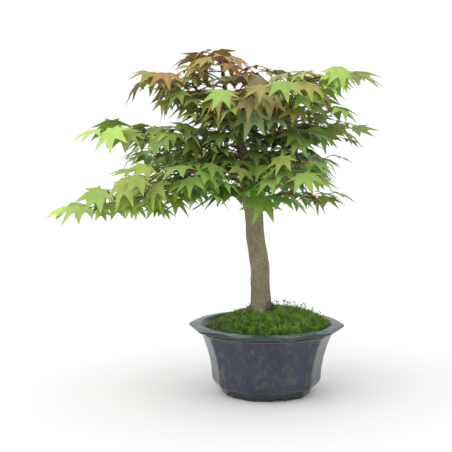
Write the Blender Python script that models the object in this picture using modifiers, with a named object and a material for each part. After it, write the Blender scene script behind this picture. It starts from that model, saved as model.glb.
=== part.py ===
"""Japanese maple bonsai in a ten-sided glazed pot.

The pot holds a drain mesh, grit, soil and a cushion of moss. The trunk carries branches, and these carry
leafy shoots.
"""

import math
import random

import bmesh
import bpy
from mathutils import Matrix, Vector
from mathutils.bvhtree import BVHTree

MM = 0.001

# Driving dimensions of the pot, in millimetres.
POT_SIDES = 10
POT_STEPS = 3 * POT_SIDES
RIM_RADIUS = 101.5  # centre to a corner of the rim
RIM_CREST = 93.0  # where the top of the rim turns down towards its lip
RIM_BORE = 84.5
RIM_TOP = 90.8
LIP_TOP = 89.0
WALL_TOP_RADIUS = 87.5
WALL_TOP = 82.0
WALL_MIDDLE = 50.0
BELLY_RADIUS = 71.5
BELLY_TOP = 23.0
BELLY_STEPS = 3
FOOT_RADIUS = 58.0
FOOT_NECK_RADIUS = 60.0
FOOT_HEIGHT = 8.0
FOOT_BORE = 50.0
RECESS_HEIGHT = 5.0
FLOOR_TOP = 12.0
FLOOR_RADIUS = 48.0
FLOOR_BEND = (56.0, 14.5)  # radius and height where the floor turns up into the wall
LIP_HEIGHT = 2.4
LIP_SCALLOP = 1.3  # how much higher the lip's edge is in the middle of a side
SIDE_HOLLOW = 0.012  # how far the rim's sides curve in, as a share of their radius
WALL_FLARE = 1.7  # power of the wall's curve: it flares fastest under the rim
WALL_THICKNESS = 5.0
POT_TURN = -1.6  # degrees that the corners are turned round the pot's axis
NOTCH_WIDTH = 17.5
NOTCH_HEIGHT = 4.2
NOTCH_DEPTH = 24.0  # of its cutter, which runs through the foot's ring and past both its sides
DRAIN_RADIUS = 11.0
MESH_SIDE = 30.0
MESH_THICKNESS = 1.2
MESH_ROWS = 4
MESH_PITCH = 6.8
MESH_HOLE = 4.6
SHARP_EDGE = 25  # degrees: the pot's edges are shaded sharp past this
GAP = 0.3  # left between pieces that touch
WELD = 0.005  # points nearer than this are one

# The filling, in millimetres above the surface that the pot stands on.
SLOPED_GAP = 1.5 * GAP
THROAT_SLOPE = 0.66  # the filling's growth in radius with height where the pot widens to its rim
GRIT_TOP = 25.0
GRIT_CREST = 30.0  # radius of the grit's raised middle
SOIL_EDGE = 83.0
SOIL_CENTRE = 103.0
MOSS_THICKNESS = 4.0
MOSS_EDGE_HEIGHT = 2.5
MOUND_POWER = 2.6  # 2 is a round mound, more is a fuller one with steeper sides
MOUND_RINGS = [0, 34, 62]

# The tree, in millimetres from the pot's axis at that surface: +X right, +Y back, +Z up.
TRUNK_PATH = [
    (-7, 0, 81), (-7, 0, 103), (-7.5, 0, 126), (-8.4, 0, 146), (-8.2, 0, 162), (-11, 0, 180), (-14, 0, 198),
    (-15.4, 0, 214), (-16.5, 0, 232), (-20, 1, 249), (-23, 3, 269), (-26, 4, 291), (-32, 2, 315),
    (-40, -2, 340), (-48, -4, 368), (-54, -3, 398), (-58, -2, 427),
]
TRUNK_RADII = [14.5, 14.5, 13, 12.4, 12.4, 12.2, 12, 11.8, 11.8, 11.8, 10.4, 8.2, 6.4, 4.8, 3.4, 2.4, 1.9]
ROOTS = [  # direction round the trunk in degrees, reach, radius
    (272, 24, 3.4),
    (190, 27, 4.6),
    (342, 25, 4.2),
    (62, 25, 4.2),
    (128, 24, 3.8),
]
ROOT_COURSE = [(0.16, 11), (0.46, 2.5), (0.74, -3), (1.0, -11)]  # share of the reach, height over the moss
ROOT_TAPER = [1.3, 1.1, 0.8, 0.5]
BRANCHES = {  # name: radius at its start, radius at its tip, points
    "branch_left_low": (
        4.4,
        1.8,
        [(-22, 3, 261), (-52, -6, 265), (-92, -16, 265), (-138, -22, 259), (-188, -22, 248)],
    ),
    "branch_left_mid": (
        3.8,
        1.8,
        [(-26, 4, 290), (-55, 7, 307), (-92, 4, 323), (-125, -1, 333), (-151, -5, 335)],
    ),
    "branch_left_back": (3.8, 1.8, [(-24, 3, 275), (-47, 30, 289), (-79, 54, 298), (-111, 66, 299)]),
    "branch_left_front": (3.6, 1.8, [(-23, 3, 269), (-45, -30, 280), (-77, -52, 285), (-109, -62, 281)]),
    "branch_right_main": (
        5.0,
        1.8,
        [(-20, 2, 253), (-8, 4, 275), (4, 7, 303), (14, 8, 334), (30, 6, 370), (52, 2, 404)],
    ),
    "branch_right_low": (3.2, 1.8, [(-19, 1, 243), (1, -9, 254), (23, -17, 260)]),
    "branch_right_back": (3.6, 1.8, [(-23, 3, 273), (-5, 30, 291), (18, 54, 303)]),
    "branch_right_front": (3.2, 1.8, [(-22, 3, 265), (-12, -28, 280), (8, -54, 288)]),
    "branch_right_mid": (2.8, 1.8, [(14, 8, 334), (27, 14, 340), (41, 18, 342)]),
    "branch_top_left": (3.0, 1.8, [(-37, 0, 327), (-57, -9, 353), (-79, -14, 379), (-95, -16, 398)]),
    "branch_top_back": (3.0, 1.8, [(-34, 1, 321), (-31, 28, 352), (-21, 50, 380)]),
    "branch_top_front": (3.0, 1.8, [(-40, -1, 334), (-35, -27, 360), (-18, -48, 382)]),
}
SHOOTS = {  # name of the wood it grows from: share along it, turn to the side in degrees, lift, length
    "trunk": [(0.53, 100, -4, 34), (0.83, 100, 14, 44), (0.92, -160, 18, 38), (0.995, -30, 20, 24)],
    "branch_left_low": [
        (0.30, -62, 4, 50),
        (0.48, 58, 6, 50),
        (0.66, -54, 4, 50),
        (0.82, 52, 4, 48),
        (0.995, 4, -4, 54),
    ],
    "branch_left_mid": [(0.42, -60, 10, 48), (0.60, 56, 8, 48), (0.80, -52, 6, 46), (0.995, 0, 0, 50)],
    "branch_left_back": [(0.48, 55, 6, 48), (0.74, -54, 6, 48), (0.995, 0, 0, 50)],
    "branch_left_front": [(0.46, -56, 6, 48), (0.72, 56, 6, 48), (0.995, 0, -4, 50)],
    "branch_right_main": [
        (0.42, 60, 8, 46),
        (0.62, -120, 12, 44),
        (0.78, 70, 14, 44),
        (0.88, -70, 16, 44),
        (0.995, -4, 8, 50),
    ],
    "branch_right_low": [(0.60, -50, 0, 42), (0.995, 4, -2, 46)],
    "branch_right_back": [(0.50, -60, 8, 46), (0.78, 56, 8, 46), (0.995, 0, 0, 46)],
    "branch_right_front": [(0.56, 62, 6, 44), (0.995, 0, -4, 44)],
    "branch_right_mid": [(0.995, 0, -2, 46)],
    "branch_top_left": [(0.50, 64, 10, 44), (0.74, -56, 10, 44), (0.995, 0, 8, 46)],
    "branch_top_back": [(0.56, -62, 10, 44), (0.80, 60, 12, 44), (0.995, 0, 8, 46)],
    "branch_top_front": [(0.56, 62, 10, 44), (0.80, -60, 12, 44), (0.995, 0, 8, 46)],
}

# A leaf, in millimetres. Its side lobes and the notches between are (degrees off its middle line, radius).
LEAF_LENGTH = 36.0
SIDE_LOBES = [(42, 33.0), (84, 25.0)]
NOTCHES = [(21, 16.0), (63, 14.5), (124, 8.0)]
LEAF_BASE = 2.5
LEAF_HALF_THICKNESS = 0.7
PETIOLE_RADIUS = 0.7
STEM_RADII = [1.1, 1.2, 1.1, 1.0]
LEAF_NODES = [(0.93, 0), (0.76, 62), (0.74, -62), (0.44, 62), (0.42, -62)]  # share along the stem, turn
TIP_SHARE = 0.98  # a shoot past this share of its branch ends it, and may have a leaf at every node
CLEARANCE = 1.0  # between leaves, and between leaves and wood
LEAF_TRIES = 46
STEM_TRIES = 24
LEAF_SEED = 11
ROD_PLATES = 4
ROD_SAMPLES = 6

COLOURS = {  # sRGB, roughness
    "glaze": ("#3d4354", 0.30),
    "plastic": ("#26302a", 0.60),
    "grit": ("#8a7a66", 0.95),
    "soil": ("#4a3626", 0.95),
    "moss": ("#4d7a22", 0.95),
    "bark": ("#7d7563", 0.85),
    "leaf_green": ("#4f7a2c", 0.55),
    "leaf_lime": ("#8fbe3f", 0.55),
    "leaf_bronze": ("#96672c", 0.55),
}


def linear(channel):
    return channel / 12.92 if channel <= 0.04045 else ((channel + 0.055) / 1.055) ** 2.4


def material(name):
    found = bpy.data.materials.get(name)
    if found:
        return found
    colour, roughness = COLOURS[name]
    made = bpy.data.materials.new(name)
    made.use_nodes = True
    shader = made.node_tree.nodes["Principled BSDF"]
    rgb = [linear(int(colour[i : i + 2], 16) / 255) for i in (1, 3, 5)]
    shader.inputs["Base Color"].default_value = (*rgb, 1)
    shader.inputs["Roughness"].default_value = roughness
    shader.inputs["Metallic"].default_value = 0
    return made


def collection(name, shown=True):
    made = bpy.data.collections.new(name)
    made.hide_render = not shown
    bpy.context.scene.collection.children.link(made)
    return made


def add_object(name, mesh, group, finish=None):
    made = bpy.data.objects.new(name, mesh)
    group.objects.link(made)
    if finish:
        mesh.materials.clear()
        mesh.materials.append(material(finish))
    return made


def add_cutter(name, mesh, cutters):
    made = add_object(name, mesh, cutters)
    made.hide_render = True
    made.display_type = "WIRE"
    return made


def evaluated_mesh(obj):
    """A new mesh of obj as the viewport shows it, with the doubles of a curve's caps merged."""
    bpy.context.view_layer.update()
    graph = bpy.context.evaluated_depsgraph_get()
    mesh = bpy.data.meshes.new_from_object(obj.evaluated_get(graph), depsgraph=graph)
    mesh.transform(obj.matrix_world)
    work = bmesh.new()
    work.from_mesh(mesh)
    bmesh.ops.remove_doubles(work, verts=work.verts, dist=WELD * MM)
    bmesh.ops.recalc_face_normals(work, faces=work.faces)
    work.to_mesh(mesh)
    work.free()
    return mesh


def boolean(obj, others, operation):
    """Applies one Boolean of obj with all the others and keeps only the result on obj."""
    group = bpy.data.collections.new(operation.lower())
    for other in others:
        group.objects.link(other)
    bpy.context.scene.collection.children.link(group)
    modifier = obj.modifiers.new(operation.lower(), "BOOLEAN")
    modifier.operation = operation
    modifier.operand_type = "COLLECTION"
    modifier.collection = group
    mesh = evaluated_mesh(obj)
    obj.modifiers.clear()
    bpy.data.collections.remove(group)
    finish = obj.data.materials[0] if obj.data.materials else None
    obj.data = mesh
    mesh.materials.clear()
    if finish:
        mesh.materials.append(finish)


def join(obj, meshes):
    """Makes obj and the meshes one body."""
    parts = [bpy.data.objects.new("part", mesh) for mesh in meshes]
    boolean(obj, parts, "UNION")
    for part in parts:
        bpy.data.objects.remove(part)


# --- turned pieces -----------------------------------------------------------------------------


def turned(name, profile, group, finish):
    """A solid turned from (radius, height) points in millimetres, from the axis over the top and down."""
    mesh = bpy.data.meshes.new(name)
    work = bmesh.new()
    ring = [work.verts.new((r * MM, 0, z * MM)) for r, z in profile]
    for a, b in zip(ring, ring[1:]):
        work.edges.new((a, b))
    work.to_mesh(mesh)
    work.free()
    made = add_object(name, mesh, group)
    screw = made.modifiers.new("turn", "SCREW")
    screw.steps = screw.render_steps = POT_STEPS
    screw.use_merge_vertices = True
    screw.merge_threshold = 0.01 * MM
    done = evaluated_mesh(made)
    made.modifiers.clear()
    made.data = done
    done.materials.append(material(finish))
    return made


def inner_radius(outer):
    """The round inside of the wall, clear of the middle of each flat side."""
    return outer * math.cos(math.pi / POT_SIDES) - WALL_THICKNESS


def wall_radius(z):
    """Corner radius of the flared wall at height z."""
    share = max(0.0, (z - BELLY_TOP) / (WALL_TOP - BELLY_TOP))
    return BELLY_RADIUS + (WALL_TOP_RADIUS - BELLY_RADIUS) * share**WALL_FLARE


def pot_profile():
    """Inner floor, inside wall, rim, flared wall, round belly, foot and recess, as (radius, height)."""
    inside = [(0, FLOOR_TOP), (FLOOR_RADIUS, FLOOR_TOP), FLOOR_BEND]
    inside += [(inner_radius(wall_radius(z)), z) for z in (BELLY_TOP, WALL_MIDDLE, WALL_TOP)]
    rim = [(RIM_BORE - 2, RIM_TOP - 1.6), (RIM_BORE, RIM_TOP), (RIM_CREST, RIM_TOP - 0.4)]
    rim += [(RIM_RADIUS, LIP_TOP), (RIM_RADIUS - 0.6, LIP_TOP - LIP_HEIGHT)]
    wall = [(wall_radius(z), z) for z in (WALL_TOP, 66, WALL_MIDDLE, 36, BELLY_TOP)]
    belly = []
    for i in range(1, BELLY_STEPS + 1):
        turn = math.radians(90 * (1 - i / BELLY_STEPS))
        r = FOOT_NECK_RADIUS + 1 + (BELLY_RADIUS - FOOT_NECK_RADIUS - 1) * math.sin(turn)
        belly.append((r, BELLY_TOP - (BELLY_TOP - FOOT_HEIGHT - 0.6) * math.cos(turn)))
    foot = [(FOOT_NECK_RADIUS, FOOT_HEIGHT), (FOOT_RADIUS + 0.8, 3.5), (FOOT_RADIUS, 0), (FOOT_BORE, 0)]
    foot += [(FOOT_BORE - 1.5, RECESS_HEIGHT), (0, RECESS_HEIGHT)]
    return inside + rim + wall + belly + foot


def press_to_sides(mesh):
    """Presses the turned outside to flat sides. The rim's lip stands highest in the middle of each side."""
    half = math.pi / POT_SIDES
    for vertex in mesh.vertices:
        x, y, z = vertex.co / MM
        radius = math.hypot(x, y)
        in_rim = z > WALL_TOP + 1
        bore = RIM_BORE if in_rim else inner_radius(wall_radius(z))
        if z < FLOOR_TOP - 1:
            bore = FOOT_BORE
        if radius < bore + 0.5:
            continue
        off = (math.atan2(y, x) % (2 * half)) - half
        inward = min(1.0, 1.5 * (1 - abs(off) / half))  # 0 at a corner, 1 along the middle of a side
        pressed = math.cos(half) / math.cos(off)
        if in_rim:
            pressed -= SIDE_HOLLOW * inward
        vertex.co.x *= pressed
        vertex.co.y *= pressed
        if radius > RIM_RADIUS - 0.2:
            vertex.co.z += LIP_SCALLOP * MM * inward


def drill(name, radius, depth, centre, direction, cutters, segments):
    mesh = bpy.data.meshes.new(name)
    work = bmesh.new()
    size = {"radius1": radius * MM, "radius2": radius * MM, "depth": depth * MM}
    bmesh.ops.create_cone(work, cap_ends=True, segments=segments, **size)
    work.to_mesh(mesh)
    work.free()
    turn = Vector(direction).to_track_quat("Z", "X").to_matrix().to_4x4()
    mesh.transform(Matrix.Translation(Vector(centre) * MM) @ turn)
    return add_cutter(name, mesh, cutters)


def make_pot(group, cutters):
    pot = turned("pot", pot_profile(), group, "glaze")
    press_to_sides(pot.data)
    radius = (NOTCH_WIDTH**2 / 4 + NOTCH_HEIGHT**2) / (2 * NOTCH_HEIGHT)
    holes = [drill("drain_hole", DRAIN_RADIUS, 2 * FLOOR_TOP, (0, 0, FLOOR_TOP), (0, 0, 1), cutters, 20)]
    notches = POT_SIDES // 2
    for i in range(notches):
        angle = 2 * math.pi * i / notches
        out = Vector((math.cos(angle), math.sin(angle), 0))
        centre = out * FOOT_RADIUS + Vector((0, 0, NOTCH_HEIGHT - radius))
        holes.append(drill(f"notch_{i + 1}", radius, NOTCH_DEPTH, centre, out, cutters, 24))
    boolean(pot, holes, "DIFFERENCE")
    pot.data.transform(Matrix.Rotation(math.radians(POT_TURN), 4, "Z"))
    pot.data.shade_smooth()
    pot.data.set_sharp_from_angle(angle=math.radians(SHARP_EDGE))
    return pot


def box_mesh(name, boxes):
    """A mesh of (centre, size) boxes in millimetres."""
    mesh = bpy.data.meshes.new(name)
    work = bmesh.new()
    for centre, size in boxes:
        place = Matrix.Translation(Vector(centre) * MM) @ Matrix.Diagonal((*(Vector(size) * MM), 1))
        bmesh.ops.create_cube(work, size=1, matrix=place)
    work.to_mesh(mesh)
    work.free()
    return mesh


def make_drain_mesh(group, cutters):
    """Plastic mesh over the drain hole: a thin square sheet with square holes."""
    height = FLOOR_TOP + GAP + MESH_THICKNESS / 2
    blank = box_mesh("drain_mesh", [((0, 0, height), (MESH_SIDE, MESH_SIDE, MESH_THICKNESS))])
    sheet = add_object("drain_mesh", blank, group, "plastic")
    rows = [(i - (MESH_ROWS - 1) / 2) * MESH_PITCH for i in range(MESH_ROWS)]
    punches = [((x, y, height), (MESH_HOLE, MESH_HOLE, 4 * MESH_THICKNESS)) for x in rows for y in rows]
    boolean(sheet, [add_cutter("mesh_punches", box_mesh("mesh_punches", punches), cutters)], "DIFFERENCE")
    return sheet


def filling_radius(z):
    """The radius that just clears the inside of the pot at height z, with a wider gap at the sloping wall."""
    if z > WALL_TOP:
        return inner_radius(WALL_TOP_RADIUS) + (z - WALL_TOP) * THROAT_SLOPE - SLOPED_GAP
    return inner_radius(wall_radius(z)) - SLOPED_GAP


def mound_height(radius, lift=0.0):
    """Height of the soil's mounded top at a distance from the pot's axis."""
    edge = filling_radius(SOIL_EDGE)
    share = min(1.0, radius / edge)
    return SOIL_EDGE + lift + (SOIL_CENTRE - SOIL_EDGE) * (1 - share**MOUND_POWER)


def make_filling(group, trunk_plug):
    floor = FLOOR_TOP + MESH_THICKNESS + 2 * GAP
    grit_top = [(0, GRIT_TOP), (GRIT_CREST, GRIT_TOP + 1)]
    grit_side = [(filling_radius(GRIT_TOP), GRIT_TOP), (filling_radius(BELLY_TOP) - 1, BELLY_TOP - 1)]
    grit_base = [(FLOOR_RADIUS + 2, floor + 3), (FLOOR_RADIUS - 4, floor), (0, floor)]
    grit = turned("drainage_grit", grit_top + grit_side + grit_base, group, "grit")
    soil_top = [(r, mound_height(r)) for r in MOUND_RINGS]
    low = GRIT_TOP + GAP
    soil_side = [(filling_radius(z), z) for z in (SOIL_EDGE, WALL_TOP, WALL_MIDDLE, low + 1)]
    soil_base = [(GRIT_CREST, low + 1), (0, low)]
    soil = turned("soil", soil_top + soil_side + soil_base, group, "soil")
    edge = filling_radius(SOIL_EDGE)
    moss_top = [(r, mound_height(r, MOSS_THICKNESS + GAP)) for r in MOUND_RINGS + [edge - 2]]
    moss_low = [(filling_radius(SOIL_EDGE + h), SOIL_EDGE + h) for h in (MOSS_EDGE_HEIGHT, GAP)]
    moss_low += [(r, mound_height(r, GAP)) for r in MOUND_RINGS[::-1]]
    moss = turned("moss", moss_top + moss_low, group, "moss")
    for piece in (soil, moss):
        boolean(piece, [trunk_plug], "DIFFERENCE")
    for piece in (grit, soil, moss):
        piece.data.shade_smooth()
    return grit, soil, moss


# --- wood --------------------------------------------------------------------------------------


def smooth_path(points, steps):
    """Points along a smooth curve through the given ones, steps to a stretch."""
    given = [Vector(p) for p in points]
    ends = [given[0] * 2 - given[1]] + given + [given[-1] * 2 - given[-2]]
    path = []
    for a, b, c, d in zip(ends, ends[1:], ends[2:], ends[3:]):
        for i in range(steps):
            t = i / steps
            bend = (2 * a - 5 * b + 4 * c - d) * t**2 + (3 * b - a - 3 * c + d) * t**3
            path.append(b + ((c - a) * t + bend) * 0.5)
    return path + [given[-1]]


def point_at(path, share):
    """The point and the direction at a share of a path's length."""
    lengths = [(b - a).length for a, b in zip(path, path[1:])]
    left = share * sum(lengths)
    for a, b, length in zip(path, path[1:], lengths):
        if left <= length:
            return a.lerp(b, left / length), (b - a).normalized()
        left -= length
    return path[-1].copy(), (path[-1] - path[-2]).normalized()


def rod_mesh(name, path, radii, bevel, grow=0.0):
    """A closed tube of changing radius, from a curve with a round bevel. Grow thickens it all round."""
    path = path[:-1] + [path[-1] + (path[-1] - path[-2]).normalized() * grow]
    curve = bpy.data.curves.new(name, "CURVE")
    curve.dimensions = "3D"
    curve.bevel_depth = MM
    curve.bevel_resolution = bevel
    curve.use_fill_caps = True
    spline = curve.splines.new("POLY")
    spline.points.add(len(path) - 1)
    for place, point, radius in zip(spline.points, path, radii):
        place.co = (*(point * MM), 1)
        place.radius = radius + grow
    guide = bpy.data.objects.new(name, curve)
    bpy.context.scene.collection.objects.link(guide)
    mesh = evaluated_mesh(guide)
    bpy.data.objects.remove(guide)
    bpy.data.curves.remove(curve)
    return mesh


def tapered(path, start, end, power=0.8):
    last = len(path) - 1
    return [start + (end - start) * (i / last) ** power for i in range(last + 1)]


def root_path(angle, reach):
    """A surface root: out of the trunk's flare, along the moss and down into the soil."""
    out = Vector((math.cos(math.radians(angle)), math.sin(math.radians(angle)), 0))
    foot = Vector((TRUNK_PATH[0][0], TRUNK_PATH[0][1], mound_height(0, MOSS_THICKNESS)))
    return [foot + out * (reach * share) + Vector((0, 0, rise)) for share, rise in ROOT_COURSE]


def trunk_object(name, group, finish, grow=0.0):
    radii = [r + grow for r in TRUNK_RADII]
    path = [Vector(p) for p in TRUNK_PATH]
    mesh = rod_mesh(name, path, radii, 4)
    trunk = add_object(name, mesh, group, finish)
    tubes = []
    for angle, reach, radius in ROOTS:
        radii = [radius * share for share in ROOT_TAPER]
        tubes.append(rod_mesh("root", root_path(angle, reach), radii, 2, grow))
    join(trunk, tubes)
    return trunk


# --- leaf layout -------------------------------------------------------------------------------


def blade_points(size, droop):
    """A blade's outline in its own frame: middle lobe along +X, upper side +Z, lobes drooping to the tips."""
    half = sorted(SIDE_LOBES + NOTCHES)
    outline = [(0, LEAF_LENGTH)] + half + [(180, LEAF_BASE)] + [(360 - a, r) for a, r in reversed(half)]
    points = []
    for angle, radius in outline:
        turn = math.radians(angle)
        drop = droop * size * (radius / LEAF_LENGTH) ** 2
        points.append(Vector((radius * size * math.cos(turn), radius * size * math.sin(turn), -drop)))
    return points


class Body:
    """A stand-in for one leaf or rod: points to measure from, and a sheet of faces to measure to."""

    def __init__(self, points, faces, samples, margin):
        self.middle = sum(points, Vector()) / len(points)
        self.reach = max((p - self.middle).length for p in points) + margin
        self.sheet = BVHTree.FromPolygons(points, faces)
        self.samples = samples
        self.margin = margin + CLEARANCE

    def meets(self, other):
        if (self.middle - other.middle).length > self.reach + other.reach + CLEARANCE:
            return False
        if self.sheet.overlap(other.sheet):
            return True
        return any(other.sheet.find_nearest(p, self.margin)[0] is not None for p in self.samples)


def blade_body(frame, size, droop):
    ring = [frame @ p for p in blade_points(size, droop)]
    middle = frame @ Vector()
    faces = [(len(ring), i, (i + 1) % len(ring)) for i in range(len(ring))]
    samples = [middle] + ring + [middle.lerp(p, 0.5) for p in ring]
    return Body(ring + [middle], faces, samples, LEAF_HALF_THICKNESS)


def rod_body(path, radii):
    """Crossed plates along a path, as wide as the rod is thick."""
    points, faces, samples = [], [], []
    for a, b, start, end in zip(path, path[1:], radii, radii[1:]):
        along = (b - a).normalized()
        side = along.orthogonal().normalized()
        samples += [a.lerp(b, k / ROD_SAMPLES) for k in range(ROD_SAMPLES + 1)]
        for k in range(ROD_PLATES):
            out = Matrix.Rotation(math.pi * k / ROD_PLATES, 3, along) @ side
            faces.append(tuple(range(len(points), len(points) + 4)))
            points += [a + out * start, a - out * start, b - out * end, b + out * end]
    return Body(points, faces, samples, min(radii))


def is_free(body, taken, besides=()):
    return not any(owner not in besides and body.meets(other) for owner, other in taken)


def leaf_frame(place, forward, roll):
    """Matrix that puts a blade at place, its middle lobe along forward and rolled about that line."""
    along = forward.normalized()
    side = Vector((0, 0, 1)).cross(along).normalized()
    turn = Matrix((along, side, along.cross(side))).transposed().to_4x4()
    return Matrix.Translation(place) @ turn @ Matrix.Rotation(roll, 4, "X")


def turned_flat(direction, degrees):
    """The horizontal part of a direction, turned round the vertical."""
    flat = Vector((direction.x, direction.y, 0)).normalized()
    return Matrix.Rotation(math.radians(degrees), 3, "Z") @ flat


def find_leaf(dice, node, heading, taken, own):
    """A free place for one leaf that grows from a node, or None where there is none."""
    for attempt in range(LEAF_TRIES):
        ease = attempt / LEAF_TRIES  # later tries are smaller and stray further
        size = dice.uniform(0.88, 1.15) * (1 - 0.25 * ease)
        reach = dice.uniform(18, 29) * (1 - 0.2 * ease)
        flat = turned_flat(heading, dice.uniform(-22, 22) * (1 + 1.6 * ease))
        rise = math.radians(dice.uniform(0, 28) - dice.uniform(0, 35) * ease)
        end = node + (flat * math.cos(rise) + Vector((0, 0, math.sin(rise)))) * reach
        pitch = math.radians(dice.uniform(8, 50) + 20 * ease * dice.uniform(-1, 1))
        ahead = turned_flat(flat, dice.uniform(-15, 15))
        forward = ahead * math.cos(pitch) - Vector((0, 0, math.sin(pitch)))
        frame = leaf_frame(end, forward, math.radians(dice.uniform(-22, 22)))
        droop = dice.uniform(3.0, 8.5)
        arch = node.lerp(end, 0.5) + Vector((0, 0, 0.10 * reach))
        blade = blade_body(frame, size, droop)
        petiole = rod_body([node, arch, end.lerp(arch, 0.15)], [PETIOLE_RADIUS] * 3)
        if is_free(blade, taken) and is_free(petiole, taken, (own + "_stem", own + "_petiole")):
            taken += [(own + "_blade", blade), (own + "_petiole", petiole)]
            return {"frame": frame, "size": size, "droop": droop, "petiole": [end, arch, node]}
    return None


def stem_path(start, heading, lift, length):
    """A young shoot: it leaves the wood at a slant, then levels out and nods at its tip."""
    rise = math.radians(lift)
    path = [start]
    for i in range(1, 4):
        share = i / 3
        up = math.sin(rise) * length * share - 0.10 * length * share * share
        path.append(start + heading * (math.cos(rise) * length * share) + Vector((0, 0, up)))
    return path


def wood_paths():
    paths = {"trunk": ([Vector(p) for p in TRUNK_PATH], TRUNK_RADII)}
    for name, (start, end, points) in BRANCHES.items():
        path = smooth_path(points, 2)
        paths[name] = (path, tapered(path, start, end))
    return paths


def plan_shoots():
    """Every shoot with its stem and its leaves, each leaf in free room of its own."""
    dice = random.Random(LEAF_SEED)
    wood = wood_paths()
    taken = [(name, rod_body(path, radii)) for name, (path, radii) in wood.items()]
    shoots = []
    for owner, sprays in SHOOTS.items():
        path, _ = wood[owner]
        for number, (share, turn, lift, length) in enumerate(sprays):
            start, along = point_at(path, share)
            name = f"shoot_{owner.replace('branch_', '')}_{number + 1}"
            for _ in range(STEM_TRIES):
                heading = turned_flat(along, turn + dice.uniform(-8, 8))
                rise = lift + dice.uniform(-5, 7)
                stem = stem_path(start, heading, rise, length * dice.uniform(0.92, 1.08))
                outside = [stem[0].lerp(stem[1], 0.6)] + stem[1:]
                if is_free(rod_body(outside, STEM_RADII), taken, (owner,)):
                    break
            taken.append((name + "_stem", rod_body(stem, STEM_RADII)))
            shoot = {"name": name, "owner": owner, "stem": stem, "heading": heading, "leaves": []}
            shoot["most"] = len(LEAF_NODES) - (share < TIP_SHARE)
            shoots.append(shoot)
    for shoot in shoots:
        for share, turn in LEAF_NODES:
            if len(shoot["leaves"]) == shoot["most"]:
                break
            node, _ = point_at(shoot["stem"], share)
            leaf = find_leaf(dice, node, turned_flat(shoot["heading"], turn), taken, shoot["name"])
            if leaf:
                shoot["leaves"].append(leaf)
    return shoots


def leaf_mesh(leaf):
    """A blade and its petiole in one body: the petiole is drawn out of the blade's base, to the stem."""
    outline = blade_points(leaf["size"], leaf["droop"])
    work = bmesh.new()
    bmesh.ops.create_uvsphere(work, u_segments=len(outline), v_segments=2, radius=1)
    poles = sorted((v for v in work.verts if abs(v.co.z) > 0.5), key=lambda v: v.co.z)
    ring = [v for v in work.verts if v not in poles]
    ring.sort(key=lambda v: (math.atan2(v.co.y, v.co.x) + 0.01) % (2 * math.pi))
    for vertex, point in zip(ring, outline):
        vertex.co = point
    for vertex, side in zip(poles, (-1, 1)):
        vertex.co = Vector((0, 0, side * LEAF_HALF_THICKNESS))
    base = len(ring) // 2
    loop = [ring[base - 1], poles[1], ring[base + 1], poles[0]]
    bmesh.ops.delete(work, geom=[ring[base]], context="VERTS")
    to_blade = leaf["frame"].inverted()
    neck = Vector((-1.3 * LEAF_BASE * leaf["size"], 0, 0))
    stations = [neck] + [to_blade @ p for p in leaf["petiole"][1:]]
    for number, centre in enumerate(stations):
        before = stations[number - 1] if number else Vector()
        along = (stations[min(number + 1, len(stations) - 1)] - before).normalized()
        side = (Vector((0, 1, 0)) - along * along.y).normalized()
        up = side.cross(along)
        edges = [e for e in work.edges if e.is_boundary]
        grown = bmesh.ops.extrude_edge_only(work, edges=edges)["geom"]
        fresh = [g for g in grown if isinstance(g, bmesh.types.BMVert)]
        loop = [min(fresh, key=lambda v, old=old: (v.co - old.co).length) for old in loop]
        for vertex, out in zip(loop, (side, up, -side, -up)):
            vertex.co = centre + out * PETIOLE_RADIUS
    bmesh.ops.edgeloop_fill(work, edges=[e for e in work.edges if e.is_boundary])
    bmesh.ops.recalc_face_normals(work, faces=work.faces)
    mesh = bpy.data.meshes.new("leaf")
    work.to_mesh(mesh)
    work.free()
    mesh.transform(Matrix.Scale(MM, 4) @ leaf["frame"])
    return mesh


def leaf_finish(owner):
    """Older leaves are green, those low on the left lime, and the youngest at the top bronze."""
    if owner.startswith("branch_top"):
        return "leaf_bronze"
    return "leaf_lime" if owner == "branch_left_low" else "leaf_green"


def make_shoot(shoot, group, parent_cutter):
    """One closed body: the stem and its leaves joined, cut clear of the wood that it grows from."""
    name = shoot["name"]
    stem = rod_mesh(name, shoot["stem"], STEM_RADII, 0)
    made = add_object(name, stem, group, leaf_finish(shoot["owner"]))
    join(made, [leaf_mesh(leaf) for leaf in shoot["leaves"]])
    boolean(made, [parent_cutter], "DIFFERENCE")
    return made


def main():
    for obj in list(bpy.data.objects):
        bpy.data.objects.remove(obj)
    tree = collection("maple_bonsai")
    cutters = collection("cutters", shown=False)
    plug = trunk_object("trunk_plug", cutters, None, GAP)
    plug.hide_render = True
    plug.display_type = "WIRE"
    pieces = [make_pot(tree, cutters), make_drain_mesh(tree, cutters), *make_filling(tree, plug)]
    pieces.append(trunk_object("trunk", tree, "bark"))
    wood = wood_paths()
    grown = {"trunk": plug}
    for name in BRANCHES:
        path, radii = wood[name]
        pieces.append(add_object(name, rod_mesh(name, path, radii, 1), tree, "bark"))
        owner = "branch_right_main" if name == "branch_right_mid" else "trunk"
        grown[name] = add_cutter(name + "_room", rod_mesh(name + "_room", path, radii, 1, GAP), cutters)
        boolean(pieces[-1], [grown[owner]], "DIFFERENCE")
    for shoot in plan_shoots():
        pieces.append(make_shoot(shoot, tree, grown[shoot["owner"]]))
    stand_on_origin(pieces, tree)


def stand_on_origin(pieces, group):
    """Hangs every piece from one empty, so that the middle of the whole box's underside is the origin."""
    corners = [v.co for piece in pieces for v in piece.data.vertices]
    low = [min(c[i] for c in corners) for i in range(3)]
    high = [max(c[i] for c in corners) for i in range(3)]
    middle = bpy.data.objects.new("middle", None)
    group.objects.link(middle)
    middle.location = (-(low[0] + high[0]) / 2, -(low[1] + high[1]) / 2, -low[2])
    for piece in pieces:
        piece.parent = middle


main()
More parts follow.
